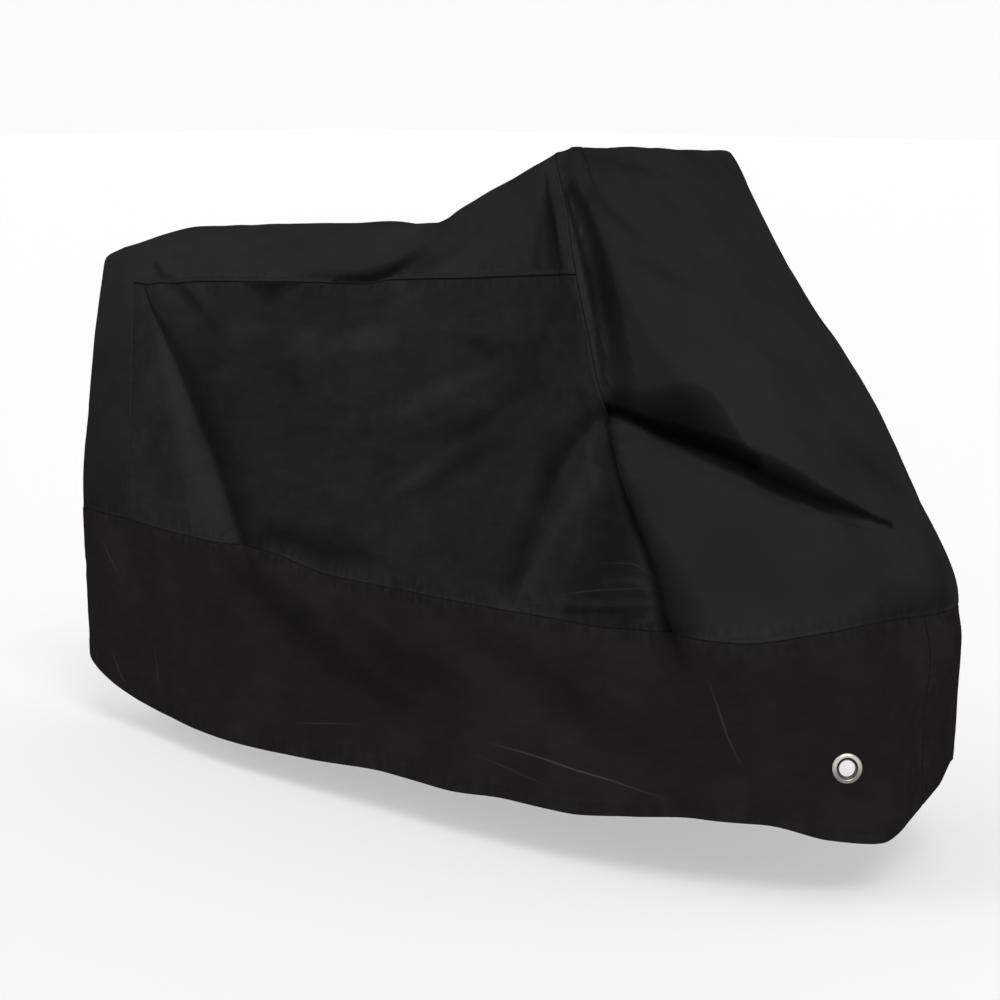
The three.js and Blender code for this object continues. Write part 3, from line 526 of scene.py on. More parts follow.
def fold_depth(points, normals, fold):
    """How far a fold takes each point in: its depth along the line times its fall-off to the side."""
    name, places, above, below, depth, spread, power_above, power_below = fold
    line = on_line(places)
    reach = max(above, below) * max(spread)
    near = ((points > line.min(0) - reach) & (points < line.max(0) + reach)).all(1)
    moved = np.zeros(len(points))
    offset, passed, way, total = from_line(points[near], line)
    s = passed / total
    distance = np.linalg.norm(offset, axis=1)
    upper = 0.5 + 0.5 * (offset * np.cross(normals[near], way)).sum(1) / np.maximum(distance, 1e-6)
    away = np.sqrt(distance**2 + BOTTOM_RADIUS**2) - BOTTOM_RADIUS
    q = np.minimum(away / ((below + (above - below) * upper) * three_way(s, spread)), 1)
    power = power_below + (power_above - power_below) * upper
    side = np.where(power > 0, (1 - q) ** np.maximum(power, 0.1), (1 - q * q) ** 2)
    moved[near] = three_way(s, depth) * side
    return moved


# %% [markdown]
# ## Crumples
# Thin coated cloth that has been packed small keeps a faint net of dents. One random lattice, always grown
# from the same seed, gives a smooth height at any point in space, so neighbouring panels agree at seams.

# %% Crumples of the cloth
LATTICE = np.random.default_rng(11).uniform(-1, 1, (29, 29, 29))


def lumps(points, size):
    """Smooth random height from -1 to 1: eight lattice corners round each point, blended by smooth steps."""
    place = points / size
    corner = np.floor(place).astype(int)
    t = smooth(place - corner)
    total = 0
    for dx, dy, dz in np.ndindex(2, 2, 2):
        weight = np.abs(1 - dx - t[:, 0]) * np.abs(1 - dy - t[:, 1]) * np.abs(1 - dz - t[:, 2])
        x, y, z = (np.mod(corner + (dx, dy, dz), len(LATTICE))).T
        total = total + weight * LATTICE[x, y, z]
    return total


# Where the cloth is crumpled. Columns: name, places, reach, size of the dents, height
CRUMPLES = [
    ("by the node", [(9.2, 3.15), (9.6, 3.5)], 70, 17, 3.2),
    ("along the skirt seam", [(7.4, 3.9), (10.0, 3.92)], 42, 20, 3.4),
    ("upright seam, top", [(9.95, 0.3), (10.0, 3.0)], 26, 13, 2.2),
    ("side, middle", [(5.6, 2.7), (7.6, 3.2)], 190, 34, 2.2),
    ("side, low", [(4.6, 3.6), (7.6, 3.7)], 130, 30, 2.0),
    ("side, front", [(8.4, 2.3), (9.4, 3.0)], 120, 26, 2.0),
    ("left side", [(19.0, 3.0), (24.0, 3.0)], 200, 32, 2.2),
    ("tail", [(0.5, 2.5), (0.8, 4.6)], 90, 32, 1.8),
]


def crumple_height(points):
    """All crumples: broad unevenness everywhere and ridged dents near the lines of the table."""
    height = 1.6 * lumps(points, 95) + 0.7 * lumps(points + 500, 42)
    for name, places, reach, size, rise in CRUMPLES:
        line = on_line(places, 12)
        near = ((points > line.min(0) - reach) & (points < line.max(0) + reach)).all(1)
        offset, *_ = from_line(points[near], line)
        share = smooth(1 - np.linalg.norm(offset, axis=1) / reach)
        dents = 1 - 2 * np.abs(lumps(points[near], size)) + 0.5 * lumps(points[near] + 90, size / 2)
        height[near] += rise * share * dents * 0.5
    return height


# %% [markdown]
# ## Cutting the sheet into its panels
# Each panel is a net of points on the sheet, about 5 mm apart, with a few closer rows along its seams so
# that the seam can dip. Two panels that share a seam are worked out from the same formula, so they meet.

# %% Nets of points
CELL, TOP_CELL = 5.0, 5.7
SEAM_ROWS = (0.22, 0.5)


def stations(first, last, line, cell=CELL):
    """Numbers from first to last, each whole step cut so that its cells are about that long on the line."""
    cuts = []
    for k in range(first, last):
        run = line(np.linspace(k, k + 1, 9))
        count = math.ceil(np.linalg.norm(np.diff(run, axis=0), axis=1).sum() / cell)
        cuts.append(k + np.arange(count) / count)
    cuts = np.concatenate(cuts + [[last]])
    closer_first = cuts[0] + np.array(SEAM_ROWS) * (cuts[1] - cuts[0])
    closer_last = cuts[-1] - np.array(SEAM_ROWS[::-1]) * (cuts[-1] - cuts[-2])
    return np.concatenate([cuts[:1], closer_first, cuts[1:-1], closer_last, cuts[-1:]])


def net(u, v):
    """Every pair of the stations as flat arrays, and the quads between them, anticlockwise from outside."""
    index = np.arange(len(u) * len(v)).reshape(len(u), len(v))
    quads = np.stack([index[:-1, :-1], index[:-1, 1:], index[1:, 1:], index[1:, :-1]], -1).reshape(-1, 4)
    uu, vv = np.meshgrid(u, v, indexing="ij")
    return uu, vv, index, quads


def lengths_along(points, axis):
    """Length walked over a net of points along one of its directions, from its first row."""
    step = np.linalg.norm(np.diff(points, axis=axis), axis=-1)
    return np.insert(np.cumsum(step, axis=axis), 0, 0, axis=axis)


def side_net(first, last, high, low):
    """Points, normals, flat coordinates and quads of the sheet between two sections and two levels."""
    u = stations(first, last, lambda t: on_sheet(t, (high + low) / 2))
    v = stations(high, low, lambda t: on_sheet((first + last) / 2, t))
    uu, vv, index, quads = net(u, v)
    points = on_sheet(uu, vv)
    flat = np.stack([lengths_along(points, 0), -lengths_along(points, 1)], -1)
    return points.reshape(-1, 3), sheet_normals(uu, vv).reshape(-1, 3), flat.reshape(-1, 2), quads


PANELS = {
    "cloth_side_right": side_net(TAIL_SEAM, UPRIGHT, STRIP_SEAM, SKIRT_SEAM),
    "cloth_side_left": side_net(ROUND - UPRIGHT, ROUND - TAIL_SEAM, STRIP_SEAM, SKIRT_SEAM),
    "cloth_front": side_net(UPRIGHT, ROUND - UPRIGHT, 0, SKIRT_SEAM),
    "cloth_skirt_right": side_net(0, FRONT_CENTRE, SKIRT_SEAM, HEM),
    "cloth_skirt_left": side_net(FRONT_CENTRE, ROUND, SKIRT_SEAM, HEM),
}
for name, (points, normals, flat, quads) in PANELS.items():
    print(name, len(points), "points", len(quads), "quads")

# %% [markdown]
# ## The top strip
# This panel is a long strip that runs up the tail, over the level top and up to the peak. Its net has
# three parts that share their edge points: a band down each side, the top between, and the tail flap.

# %% The top strip's net


def top_strip_net():
    """Points, normals, flat coordinates and quads of the band round the shoulders, the top and the tail."""
    run = stations(TAIL_FOLD, UPRIGHT, lambda t: on_sheet(t, 0.0), TOP_CELL)
    tail = stations(-TAIL_FOLD, TAIL_FOLD, lambda t: on_sheet(t, 1.0), TOP_CELL)
    u = np.concatenate([-run[::-1], tail[1:-1], run])
    v = stations(0, STRIP_SEAM, lambda t: on_sheet(6.5, t))
    uu, vv, band, band_quads = net(u, v)
    points, normals = on_sheet(uu, vv), sheet_normals(uu, vv)
    flat = np.stack([lengths_along(points, 0), -lengths_along(points, 1)], -1)
    parts = [[points.reshape(-1, 3)], [normals.reshape(-1, 3)], [flat.reshape(-1, 2)], [band_quads]]
    count = band.size

    a = np.interp(run, np.arange(TAIL_FOLD, UPRIGHT + 1), SHOULDER_ALONG)
    b = (TAIL_FOLD - tail[::-1]) / (2 * TAIL_FOLD)
    aa, bb, top, _ = net(a, b)
    top = np.full(aa.shape, -1)
    first = len(run) - 1
    top[:, 0] = band[first + len(tail) - 1:, 0]
    top[:, -1] = band[first::-1, 0]
    top[0, :] = band[first:first + len(tail), 0][::-1]
    inside = top < 0
    top[inside] = count + np.arange(inside.sum())
    count += inside.sum()
    parts[0].append(on_top(aa, bb)[inside])
    over = top_normals(aa, bb)
    over[-1] = sheet_normals(UPRIGHT + (ROUND - 2 * UPRIGHT) * b, np.zeros_like(b))
    parts[1].append(over[inside])
    spread = np.stack([lengths_along(on_top(aa, bb), 0), lengths_along(on_top(aa, bb), 1)], -1)
    parts[2].append(spread[inside])
    parts[3].append(np.stack([top[:-1, :-1], top[1:, :-1], top[1:, 1:], top[:-1, 1:]], -1).reshape(-1, 4))

    flap_u = tail[np.abs(tail) <= TAIL_SEAM + 1e-9]
    flap_v = stations(STRIP_SEAM, SKIRT_SEAM, lambda t: on_sheet(0.5, t))
    uu, vv, flap, _ = net(flap_u, flap_v)
    flap = np.full(uu.shape, -1)
    at = first + np.flatnonzero(np.abs(tail) <= TAIL_SEAM + 1e-9)
    flap[:, 0] = band[at, -1]
    inside = flap < 0
    flap[inside] = count + np.arange(inside.sum())
    below = on_sheet(uu, vv)
    parts[0].append(below[inside])
    parts[1].append(sheet_normals(uu, vv)[inside])
    flat_flap = np.stack([lengths_along(below, 0), -lengths_along(below, 1)], -1)
    flat_flap += (flat[at[0], -1] - flat_flap[0, 0])
    parts[2].append(flat_flap[inside])
    parts[3].append(np.stack([flap[:-1, :-1], flap[:-1, 1:], flap[1:, 1:], flap[1:, :-1]], -1).reshape(-1, 4))
    return [np.concatenate(part) for part in parts]


PANELS["cloth_top"] = top_strip_net()
print("cloth_top", len(PANELS["cloth_top"][0]), "points", len(PANELS["cloth_top"][3]), "quads")


def edges_of(quads):
    """Each edge of the quads once, and how many quads it has."""
    pairs = np.sort(np.concatenate([quads[:, [k, (k + 1) % 4]] for k in range(4)]), axis=1)
    return np.unique(pairs, axis=0, return_counts=True)


def relaxed(points, quads, rounds):
    """The points moved towards the mean of their neighbours again and again, the panel's border kept."""
    pairs, uses = edges_of(quads)
    free = np.ones(len(points), bool)
    free[pairs[uses == 1].ravel()] = False
    count = np.bincount(pairs.ravel(), minlength=len(points))[:, None]
    for _ in range(rounds):
        total = np.zeros_like(points)
        np.add.at(total, pairs[:, 0], points[pairs[:, 1]])
        np.add.at(total, pairs[:, 1], points[pairs[:, 0]])
        points = np.where(free[:, None], points + 0.5 * (total / np.maximum(count, 1) - points), points)
    return points


SHOULDER_ROUNDING = 14
points, normals, flat, quads = PANELS["cloth_top"]
creased = [on_sheet(section, np.linspace(0, STRIP_SEAM, 30)) for section in (UPRIGHT, ROUND - UPRIGHT)]
creased.append(on_sheet(np.linspace(UPRIGHT, ROUND - UPRIGHT, 60), 0.0))
kept = np.min([nearest_on(points, line)[0] for line in creased], axis=0)
share = smooth((kept - 4) / 50)[:, None]
rounded = points + share * (relaxed(points, quads, SHOULDER_ROUNDING) - points)
normals = relaxed(normals, quads, SHOULDER_ROUNDING)
PANELS["cloth_top"] = (rounded, normals / np.linalg.norm(normals, axis=1)[:, None], flat, quads)

# %% [markdown]
# ## Seams
# A lapped seam in thin cloth shows as a fine dark line where one panel goes under the other, beside a flat
# band a few millimetres wide that is sewn down with a row of stitches. The line is a real dip in the net.
# The band's puckers and the stitches are too small for the net, so each point keeps its distance from the
# nearest seam and its place along it, and the finish draws them from those two numbers.

# %% Seam lines
SEAM_DIP = 1.1
ALL_UPPER = (SIDE, TOP, FRONT)
# Columns: name, line, the panels that lie on top there, how dark its line is, how strongly it puckers
SEAM_LINES = [
    ("strip, right", on_sheet(np.linspace(TAIL_SEAM, UPRIGHT, 180), STRIP_SEAM), TOP, 0.75, 0.5),
    ("strip, left", on_sheet(np.linspace(ROUND - UPRIGHT, ROUND - TAIL_SEAM, 180), STRIP_SEAM), TOP, 0.75,
     0.5),
    ("tail, right", on_sheet(TAIL_SEAM, np.linspace(STRIP_SEAM, SKIRT_SEAM, 60)), TOP, 0.28, 0.4),
    ("tail, left", on_sheet(ROUND - TAIL_SEAM, np.linspace(STRIP_SEAM, SKIRT_SEAM, 60)), TOP, 0.4, 0.4),
    ("upright, right, above", on_sheet(UPRIGHT, np.linspace(0, STRIP_SEAM, 50)), TOP, 0.45, 0.6),
    ("upright, left, above", on_sheet(ROUND - UPRIGHT, np.linspace(0, STRIP_SEAM, 50)), TOP, 0.45, 0.6),
    ("upright, right, below", on_sheet(UPRIGHT, np.linspace(STRIP_SEAM, SKIRT_SEAM, 50)), SIDE, 0.45, 0.4),
    ("upright, left, below", on_sheet(ROUND - UPRIGHT, np.linspace(STRIP_SEAM, SKIRT_SEAM, 50)), SIDE,
     0.45, 0.4),
    ("behind the peak", on_sheet(np.linspace(UPRIGHT, ROUND - UPRIGHT, 90), 0.0), TOP, 0.5, 0.5),
    ("skirt", on_sheet(np.linspace(0, ROUND, 560), SKIRT_SEAM), ALL_UPPER, 0.35, 0.7),
    ("skirt, front", on_sheet(FRONT_CENTRE, np.linspace(SKIRT_SEAM, HEM, 40)), "cloth_skirt_right", 0.4,
     0.5),
    ("skirt, tail", on_sheet(0.0, np.linspace(SKIRT_SEAM, HEM, 30)), "cloth_skirt_right", 0.4, 0.5),
]
HEM_LINE = on_sheet(np.linspace(0, ROUND, 560), HEM)


def seam_maps(name, points):
    """What the finish needs of the nearest seam: distance, length along it, lap, darkness and puckers."""
    found = [nearest_on(points, row[1]) for row in SEAM_LINES]
    away, along = np.array([f[0] for f in found]), np.array([f[1] for f in found])
    best, row = away.argmin(0), np.arange(len(points))
    second = np.sort(away, axis=0)[1]
    rows = [(name.startswith(top), dark, pucker) for *_, top, dark, pucker in SEAM_LINES]
    lap, dark, pucker = np.array(rows).T
    apart = smooth((second - away[best, row] - 12) / 14)
    return {"seam_away": away[best, row], "seam_along": along[best, row], "lap": lap[best] * apart,
            "seam_dark": dark[best], "pucker": pucker[best] * apart}


def crease_highlight_maps(name, points, normals):
    """Distance from the nearest sharp crease, minus on its lower side, and how strongly its painted highlight
    shows there.
    """
    away, level = np.full(len(points), FAR), np.zeros(len(points))
    for _, places, strength, panels in CREASE_HIGHLIGHTS:
        if not name.startswith(panels):
            continue
        line = on_line(places)
        near = np.flatnonzero(((points > line.min(0) - FAR) & (points < line.max(0) + FAR)).all(1))
        offset, passed, way, total = from_line(points[near], line)
        distance = np.linalg.norm(offset, axis=1)
        closer = distance < np.abs(away[near])
        side = (offset * np.cross(normals[near], way)).sum(1)
        away[near[closer]] = np.copysign(distance, side)[closer]
        shows = strength * np.sin(np.pi * passed / total) * smooth((15 - distance) / 7)
        level[near[closer]] = shows[closer]
    return {"crease_away": away, "crease": level}


# %% [markdown]
# ## Eyelets
# The cloth is clamped flat between the eyelet's flange and a washer, so the net is pressed flat around each
# eyelet and the cells under the flange are taken out.

# %% Places of the eyelets
EYELETS = {"right": (12.35, 4.66), "left": (16.55, 4.62)}
EYELET_RADIUS, EYELET_HOLE = 23.0, 12.0
FLAT_RADIUS, FLAT_FADE = 80.0, 70.0
eyelet_places = {}
for side, (u, v) in EYELETS.items():
    eyelet_places[side] = (on_sheet(u, v), sheet_normals(u, v, 0.05))
    print("eyelet", side, ((eyelet_places[side][0] - HANG) / 1000).round(3))


def pressed_flat(points):
    """The points moved onto each eyelet's plane near it, less and less further out."""
    for centre, normal in eyelet_places.values():
        away = np.linalg.norm(points - centre, axis=1)
        share = np.clip((FLAT_RADIUS + FLAT_FADE - away) / FLAT_FADE, 0, 1)
        points = points - ((points - centre) @ normal * share)[:, None] * normal
    return points


# %% [markdown]
# ## Making the panels
# The net becomes a mesh of quads. Solidify then gives it the cloth's thickness on the inner side. The real
# cloth is 0.3 mm thick. It is drawn 1 mm thick so that its edge doesn't look like paper in a close view.

# %% Meshes of the cloth
CLOTH_THICK = 0.001
HEM_WIDTH, HEM_RISE = 20.0, 0.9
# How loose each panel hangs, which is how much of the fine creasing it has
SLACK = {SIDE: 1.0, TOP: 0.6, FRONT: 0.3, SKIRT: 0.7}


def hidden_by_eyelet(points, quads):
    """True for quads whose middle is under an eyelet's flange."""
    middle = points[quads].mean(1)
    gone = np.zeros(len(quads), bool)
    for centre, _ in eyelet_places.values():
        gone |= np.linalg.norm(middle - centre, axis=1) < (EYELET_RADIUS + EYELET_HOLE) / 2 - 1
    return gone


# For each panel, the light that its plain cloth gives back, and how unevenly. This is painted shade: the
# upper panels, all one cloth, are painted lightest on the top and darkest on the sides, as the light falls
PLAIN_LIGHT = {SIDE: (0.78, 0.12), TOP: (0.94, 0.05), FRONT: (0.86, 0.03), SKIRT: (0.84, 0.08)}


# The swags run up to the right by 19 degrees, and the fine unevenness is drawn out along them
SWAG_WAY = np.array([(0.945, 0, 0.326), (0, 1, 0), (-0.326, 0, 0.945)])


def shade_of(name, points, normals, height):
    """The painted shade of each point: every row's share of the light left, random mottling, crumple tops
    painted lighter.
    """
    plain, share = next(value for start, value in PLAIN_LIGHT.items() if name.startswith(start))
    light = np.full(len(points), plain)
    for row in SHADES:
        if name.startswith(row[-1]):
            light *= 1 - fold_depth(points, normals, row[:-1])
    along_swags = points @ SWAG_WAY.T / (2.6, 1, 1)
    uneven = lumps(points, 70) + 0.8 * lumps(along_swags, 24) + 0.7 * lumps(along_swags + 700, 11)
    return np.clip(1 - light * (1 + share * uneven) * (1 + 0.06 * height), 0, 1)


def smooth_mesh(name, points, quads):
    """A mesh of smooth quads, in metres from the frame's origin."""
    mesh = bpy.data.meshes.new(name)
    mesh.from_pydata(((points - HANG) / 1000).tolist(), [], quads.tolist())
    mesh.polygons.foreach_set("use_smooth", np.ones(len(quads), bool))
    return mesh


def keep(mesh, label, values):
    """Writes one number for each point into the mesh, for the finish to read."""
    mesh.attributes.new(label, "FLOAT", "POINT").data.foreach_set("value", values.astype(np.float32))


def in_scene(name, data):
    """An object in the scene that shows that mesh, camera or light."""
    made = bpy.data.objects.new(name, data)
    bpy.context.scene.collection.objects.link(made)
    return made


def cloth_piece(name, points, normals, flat, quads):
    """A mesh object from a panel's net, with its folds, crumples and seam dips, and its maps."""
    height = crumple_height(points)
    shade = shade_of(name, points, normals, height)
    depth = sum(fold_depth(points, normals, fold) for fold in FOLDS + SOFT_FOLDS)
    maps = seam_maps(name, points)
    hem_away, hem_along = nearest_on(points, HEM_LINE)
    depth = depth + SEAM_DIP * np.clip(1 - maps["seam_away"] / 3.0, 0, 1) - height
    depth = depth - HEM_RISE * smooth((HEM_WIDTH + 1 - hem_away) / 2)
    shaped = pressed_flat(points - depth[:, None] * normals)
    slack = next(value for start, value in SLACK.items() if name.startswith(start))
    maps.update(hem_away=hem_away, hem_along=hem_along, shade=shade, slack=np.full(len(points), slack))
    maps.update(crease_highlight_maps(name, points, normals))
    if "skirt" in name:
        quads = quads[~hidden_by_eyelet(shaped, quads)]
    used, quads = np.unique(quads, return_inverse=True)
    quads = quads.reshape(-1, 4)
    mesh = smooth_mesh(name, shaped[used], quads)
    layer = mesh.uv_layers.new(name="flat")
    layer.data.foreach_set("uv", (flat[used][quads.ravel()] / 1000).astype(np.float32).ravel())
    for label, values in maps.items():
        keep(mesh, label, values[used])
    mesh.update()
    piece = in_scene(name, mesh)
    thick = piece.modifiers.new("cloth thickness", "SOLIDIFY")
    thick.thickness, thick.offset = CLOTH_THICK, -1
    corner = shaped[used][quads]
    doubled = np.cross(corner[:, 2] - corner[:, 0], corner[:, 3] - corner[:, 1])
    area = np.linalg.norm(doubled, axis=1).sum() / 2e6
    print(f"{name}: {len(quads)} quads, {area:.3f} square metres")
    return piece, area


cloth, cloth_area = {}, {}
for name, panel in PANELS.items():
    cloth[name], cloth_area[name] = cloth_piece(name, *panel)

# %% [markdown]
# ## Finishes
# Black cloth is hard to show: almost all that the eye sees is how it shines. The upper cloth is polyester
# with a smooth polyurethane coat, so it has a soft, wide gloss. The skirt's coat is duller. Here neither
# finish reflects any gloss: the shine of creases and the dark of folds are painted into their colour.

# %% Helpers for finishes


def linear(code):
    """An sRGB hex colour as linear red, green, blue and 1."""
    parts = [int(code[k:k + 2], 16) / 255 for k in (0, 2, 4)]
    return (*[c / 12.92 if c <= 0.04045 else ((c + 0.055) / 1.055) ** 2.4 for c in parts], 1)


def add_node(tree, kind, inputs=None, **settings):
    """A node of that kind with its settings, its inputs set or linked."""
    made = tree.nodes.new(kind)
    for name, value in settings.items():
        setattr(made, name, value)
    for name, value in (inputs or {}).items():
        value = getattr(value, "socket", value)
        if isinstance(value, bpy.types.NodeSocket):
            tree.links.new(value, made.inputs[name])
        else:
            made.inputs[name].default_value = value
    return made


def new_finish(name):
    """An empty material with its tree and its shader."""
    made = bpy.data.materials.new(name)
    made.use_nodes = True
    return made, made.node_tree, made.node_tree.nodes["Principled BSDF"]


# %% Numbers in a finish


class Number:
    """A number that a node gives. A sum on it adds the node for that sum, and is a number again."""

    def __init__(self, node, output=0):
        self.tree, self.socket = node.id_data, node.outputs[output]

    def then(self, operation, *others):
        """This number and the others, put through one operation."""
        values = dict(enumerate((self, *others)))
        return Number(add_node(self.tree, "ShaderNodeMath", values, operation=operation))

    def __add__(self, other):
        return self.then("ADD", other)

    def __sub__(self, other):
        return self.then("SUBTRACT", other)

    def __rsub__(self, other):
        return self * -1.0 + other

    def __mul__(self, other):
        return self.then("MULTIPLY", other)

    def __truediv__(self, other):
        return self.then("DIVIDE", other)

    def fade(self, first, last):
        """1 where this is below first, 0 where it is above last."""
        limits = {"Value": self, "From Min": first, "From Max": last, "To Min": 1.0, "To Max": 0.0}
        return Number(add_node(self.tree, "ShaderNodeMapRange", limits, interpolation_type="SMOOTHSTEP"))


def kept_number(tree, label):
    """The number that each point of the mesh keeps under that label."""
    return Number(add_node(tree, "ShaderNodeAttribute", attribute_name=label), "Fac")


# %% Sewing
STITCH_LENGTH, THREAD_HALF = 4.5, 0.45


def stitch_row(away, along, row):
    """A row of stitches that far from a seam: 1 on the thread, 0 in the gaps and beside it."""
    thread = (away - row).then("ABSOLUTE").fade(THREAD_HALF * 0.5, THREAD_HALF * 1.6)
    return thread * (along / STITCH_LENGTH).then("FRACT").fade(0.66, 0.76)


def puckers(away, along, spacing, last):
    """Noise that is long across a seam and short along it, from -0.5 to 0.5, and dies out beside it."""
    spot = add_node(away.tree, "ShaderNodeCombineXYZ", {"X": along / spacing, "Y": away / (spacing * 2.6)})
    noise = add_node(away.tree, "ShaderNodeTexNoise", {"Vector": spot.outputs["Vector"], "Scale": 1.0,
                                                       "Detail": 1.0, "Roughness": 0.4})
    return (Number(noise) - 0.5) * away.fade(6.0, last)


# %% Coated cloth
# Real threads lie about 0.35 mm apart. That is too fine to show, so the weave is drawn 0.9 mm apart.
THREAD_SPACING = 0.0009
LAP_WIDTH = 9.0


def coated_cloth(name, colour, paler, roughness):
    """Woven, coated cloth: soft patches, the folds' painted shade, seams, stitches, puckers, painted crease
    highlights.
    """
    made, tree, shader = new_finish(name)
    place = add_node(tree, "ShaderNodeTexCoord").outputs["Object"]
    flat = add_node(tree, "ShaderNodeUVMap", uv_map="flat").outputs["UV"]
    away, along, hem_away, hem_along, lapped, shade, slack = [
        kept_number(tree, label)
        for label in ("seam_away", "seam_along", "hem_away", "hem_along", "lap", "shade", "slack")]

    line = away.fade(0.7, 2.4) * kept_number(tree, "seam_dark")
    lap = lapped * away.fade(LAP_WIDTH - 0.5, LAP_WIDTH + 0.5)
    hem = hem_away.fade(HEM_WIDTH - 0.5, HEM_WIDTH + 0.5)
    lap_stitches = lapped * stitch_row(away, along, LAP_WIDTH - 2)
    stitches = lap_stitches.then("MAXIMUM", stitch_row(hem_away, hem_along, HEM_WIDTH - 3))
    pucker = (puckers(away, along, 12.0, 34.0) * kept_number(tree, "pucker")
              + puckers(hem_away, hem_along, 19.0, 44.0) * 0.5)

    patches = Number(add_node(tree, "ShaderNodeTexNoise", {"Vector": place, "Scale": 9.0, "Detail": 4.0,
                                                           "Roughness": 0.6}))
    mixed = add_node(tree, "ShaderNodeMix", {"Factor": patches, "A": linear(colour), "B": linear(paler)},
                     data_type="RGBA").outputs["Result"]
    drawn_out = add_node(tree, "ShaderNodeMapping", {"Vector": place, "Rotation": (0, math.radians(19), 0),
                                                     "Scale": (0.42, 1.0, 1.0)}).outputs["Vector"]
    creases = add_node(tree, "ShaderNodeTexNoise", {"Vector": drawn_out, "Scale": 26.0, "Detail": 4.0,
                                                    "Roughness": 0.6, "Distortion": 0.7})
    fine_relief = slack * (Number(creases) - 0.5)

    # Pale: lapped cloth and thread, and painted light on the tops of puckers and fine creases, painted shade
    # in their hollows. Dark: the painted shade of the folds, less what is pale.
    pale = lap * 0.14 + stitches * 0.25 + pucker * 1.1 + fine_relief * 0.4
    dark = (shade - pale * (1.0 - shade)).then("MAXIMUM", line)
    shaded = add_node(tree, "ShaderNodeMix", {"Factor": dark, "A": mixed, "B": (0.0004, 0.0004, 0.0004, 1)},
                      data_type="RGBA", clamp_factor=True).outputs["Result"]
    # Painted highlight: a thin pale line along each sharp crease
    crease = kept_number(tree, "crease") * kept_number(tree, "crease_away").then("ABSOLUTE").fade(0.3, 2.6)
    creased = add_node(tree, "ShaderNodeMix", {"Factor": crease, "A": shaded, "B": linear("3a3733")},
                       data_type="RGBA", clamp_factor=True)
    tree.links.new(creased.outputs["Result"], shader.inputs["Base Color"])
    gloss = add_node(tree, "ShaderNodeMapRange", {"Value": patches, "From Min": 0.3, "From Max": 0.7,
                                                  "To Min": roughness - 0.04, "To Max": roughness + 0.05})
    tree.links.new(gloss.outputs["Result"], shader.inputs["Roughness"])

    weave = add_node(tree, "ShaderNodeTexChecker", {"Vector": flat, "Scale": 1 / THREAD_SPACING})
    normal = add_node(tree, "ShaderNodeBump", {"Height": weave.outputs["Fac"], "Strength": 0.12,
                                               "Distance": 0.0002})
    for height, depth in ((fine_relief, 0.005), (pucker, 0.009), (lap + hem + stitches, 0.0008)):
        normal = add_node(tree, "ShaderNodeBump", {"Height": height, "Strength": 1.0, "Distance": depth,
                                                   "Normal": normal.outputs["Normal"]})
    tree.links.new(normal.outputs["Normal"], shader.inputs["Normal"])
    shader.inputs["Specular IOR Level"].default_value = 0.0
    return made


upper_finish = coated_cloth("coated_polyester_glossy", "232323", "272727", 0.42)
skirt_finish = coated_cloth("coated_polyester_dull", "1e1c1c", "211f1f", 0.6)

# %% [markdown]
# ## The eyelets
# An eyelet is stamped from thin brass or steel sheet and plated: a domed flange outside, a short barrel
# through the cloth, and a washer inside over which the barrel's end is rolled. Both are turned shapes, so
# each is one closed section carried round the hole's axis. The scratches of the plating run round it too.

# %% Turned eyelets
# Sections: radius and height above the cloth's outer face, in millimetres, once round the metal
EYELET_SECTION = [(23.0, 0.1), (23.0, 0.9), (22.3, 2.1), (20.8, 3.2), (19.0, 3.7), (17.2, 3.5),
                  (15.8, 2.5), (15.0, 1.3), (14.4, 1.2), (13.8, 2.0), (13.1, 2.2), (12.4, 1.6),
                  (12.0, 0.4), (12.0, -2.0), (12.2, -3.0), (13.0, -3.6), (14.4, -3.6), (14.6, -3.1),
                  (13.4, -2.9), (12.9, -2.2), (12.9, -0.4), (13.6, 0.5), (15.6, 0.8), (17.0, 2.3),
                  (19.0, 2.8), (20.8, 2.1), (22.0, 0.9), (22.3, 0.1)]
WASHER_SECTION = [(20.9, -1.2), (21.0, -1.7), (20.2, -2.2), (17.6, -2.7), (14.4, -2.8), (13.2, -2.5),
                  (13.2, -1.9), (14.6, -1.9), (17.4, -1.9), (19.6, -1.5), (20.3, -1.2)]
TURNS = 96


def turned(name, section, centre, axis):
    """A section carried round an axis: each point goes round at its radius and its height."""
    padded = np.array([section[-1], *section, section[0], section[1]], float)
    at = np.arange(0, len(section), 0.5)
    k = at.astype(int)
    four = [padded[np.mod(k + j - 1, len(section)) + 1] for j in (-1, 0, 1, 2)]
    radius, height = between(*four, at - k).T
    side = np.cross(axis, (0, 0, 1))
    side /= np.linalg.norm(side)
    turn = np.linspace(0, 2 * np.pi, TURNS, endpoint=False)[:, None]
    round_it = np.cos(turn) * side + np.sin(turn) * np.cross(side, axis)
    points = centre + radius[:, None, None] * round_it + height[:, None, None] * axis
    index = np.arange(points[..., 0].size).reshape(len(at), TURNS)
    on, over = np.roll(index, -1, 0), np.roll(index, -1, 1)
    quads = np.stack([index, over, np.roll(on, -1, 1), on], -1).reshape(-1, 4)
    mesh = smooth_mesh(name, points.reshape(-1, 3), quads)
    # Painted shadow: the groove round the hole and the inside of the barrel are darkened, most at the top, and
    # the lower half carries a painted reflection
    groove = smooth(2.4 - np.abs(radius - 14.2) / 0.9) * smooth((3.4 - height) / 1.5)
    low = np.tile(smooth(0.5 - 0.7 * np.sin(turn.ravel())), len(at))
    bore_shadow = np.maximum(groove, smooth((12.7 - radius) / 0.6) * smooth((0.8 - height) / 1.5))
    for label, values in (("bore_shadow", np.repeat(bore_shadow, TURNS) * (1 - 0.8 * low)), ("low", low),
                          ("rings", np.repeat(radius + 0.6 * height, TURNS))):
        keep(mesh, label, values)
    mesh.update()
    return in_scene(name, mesh)


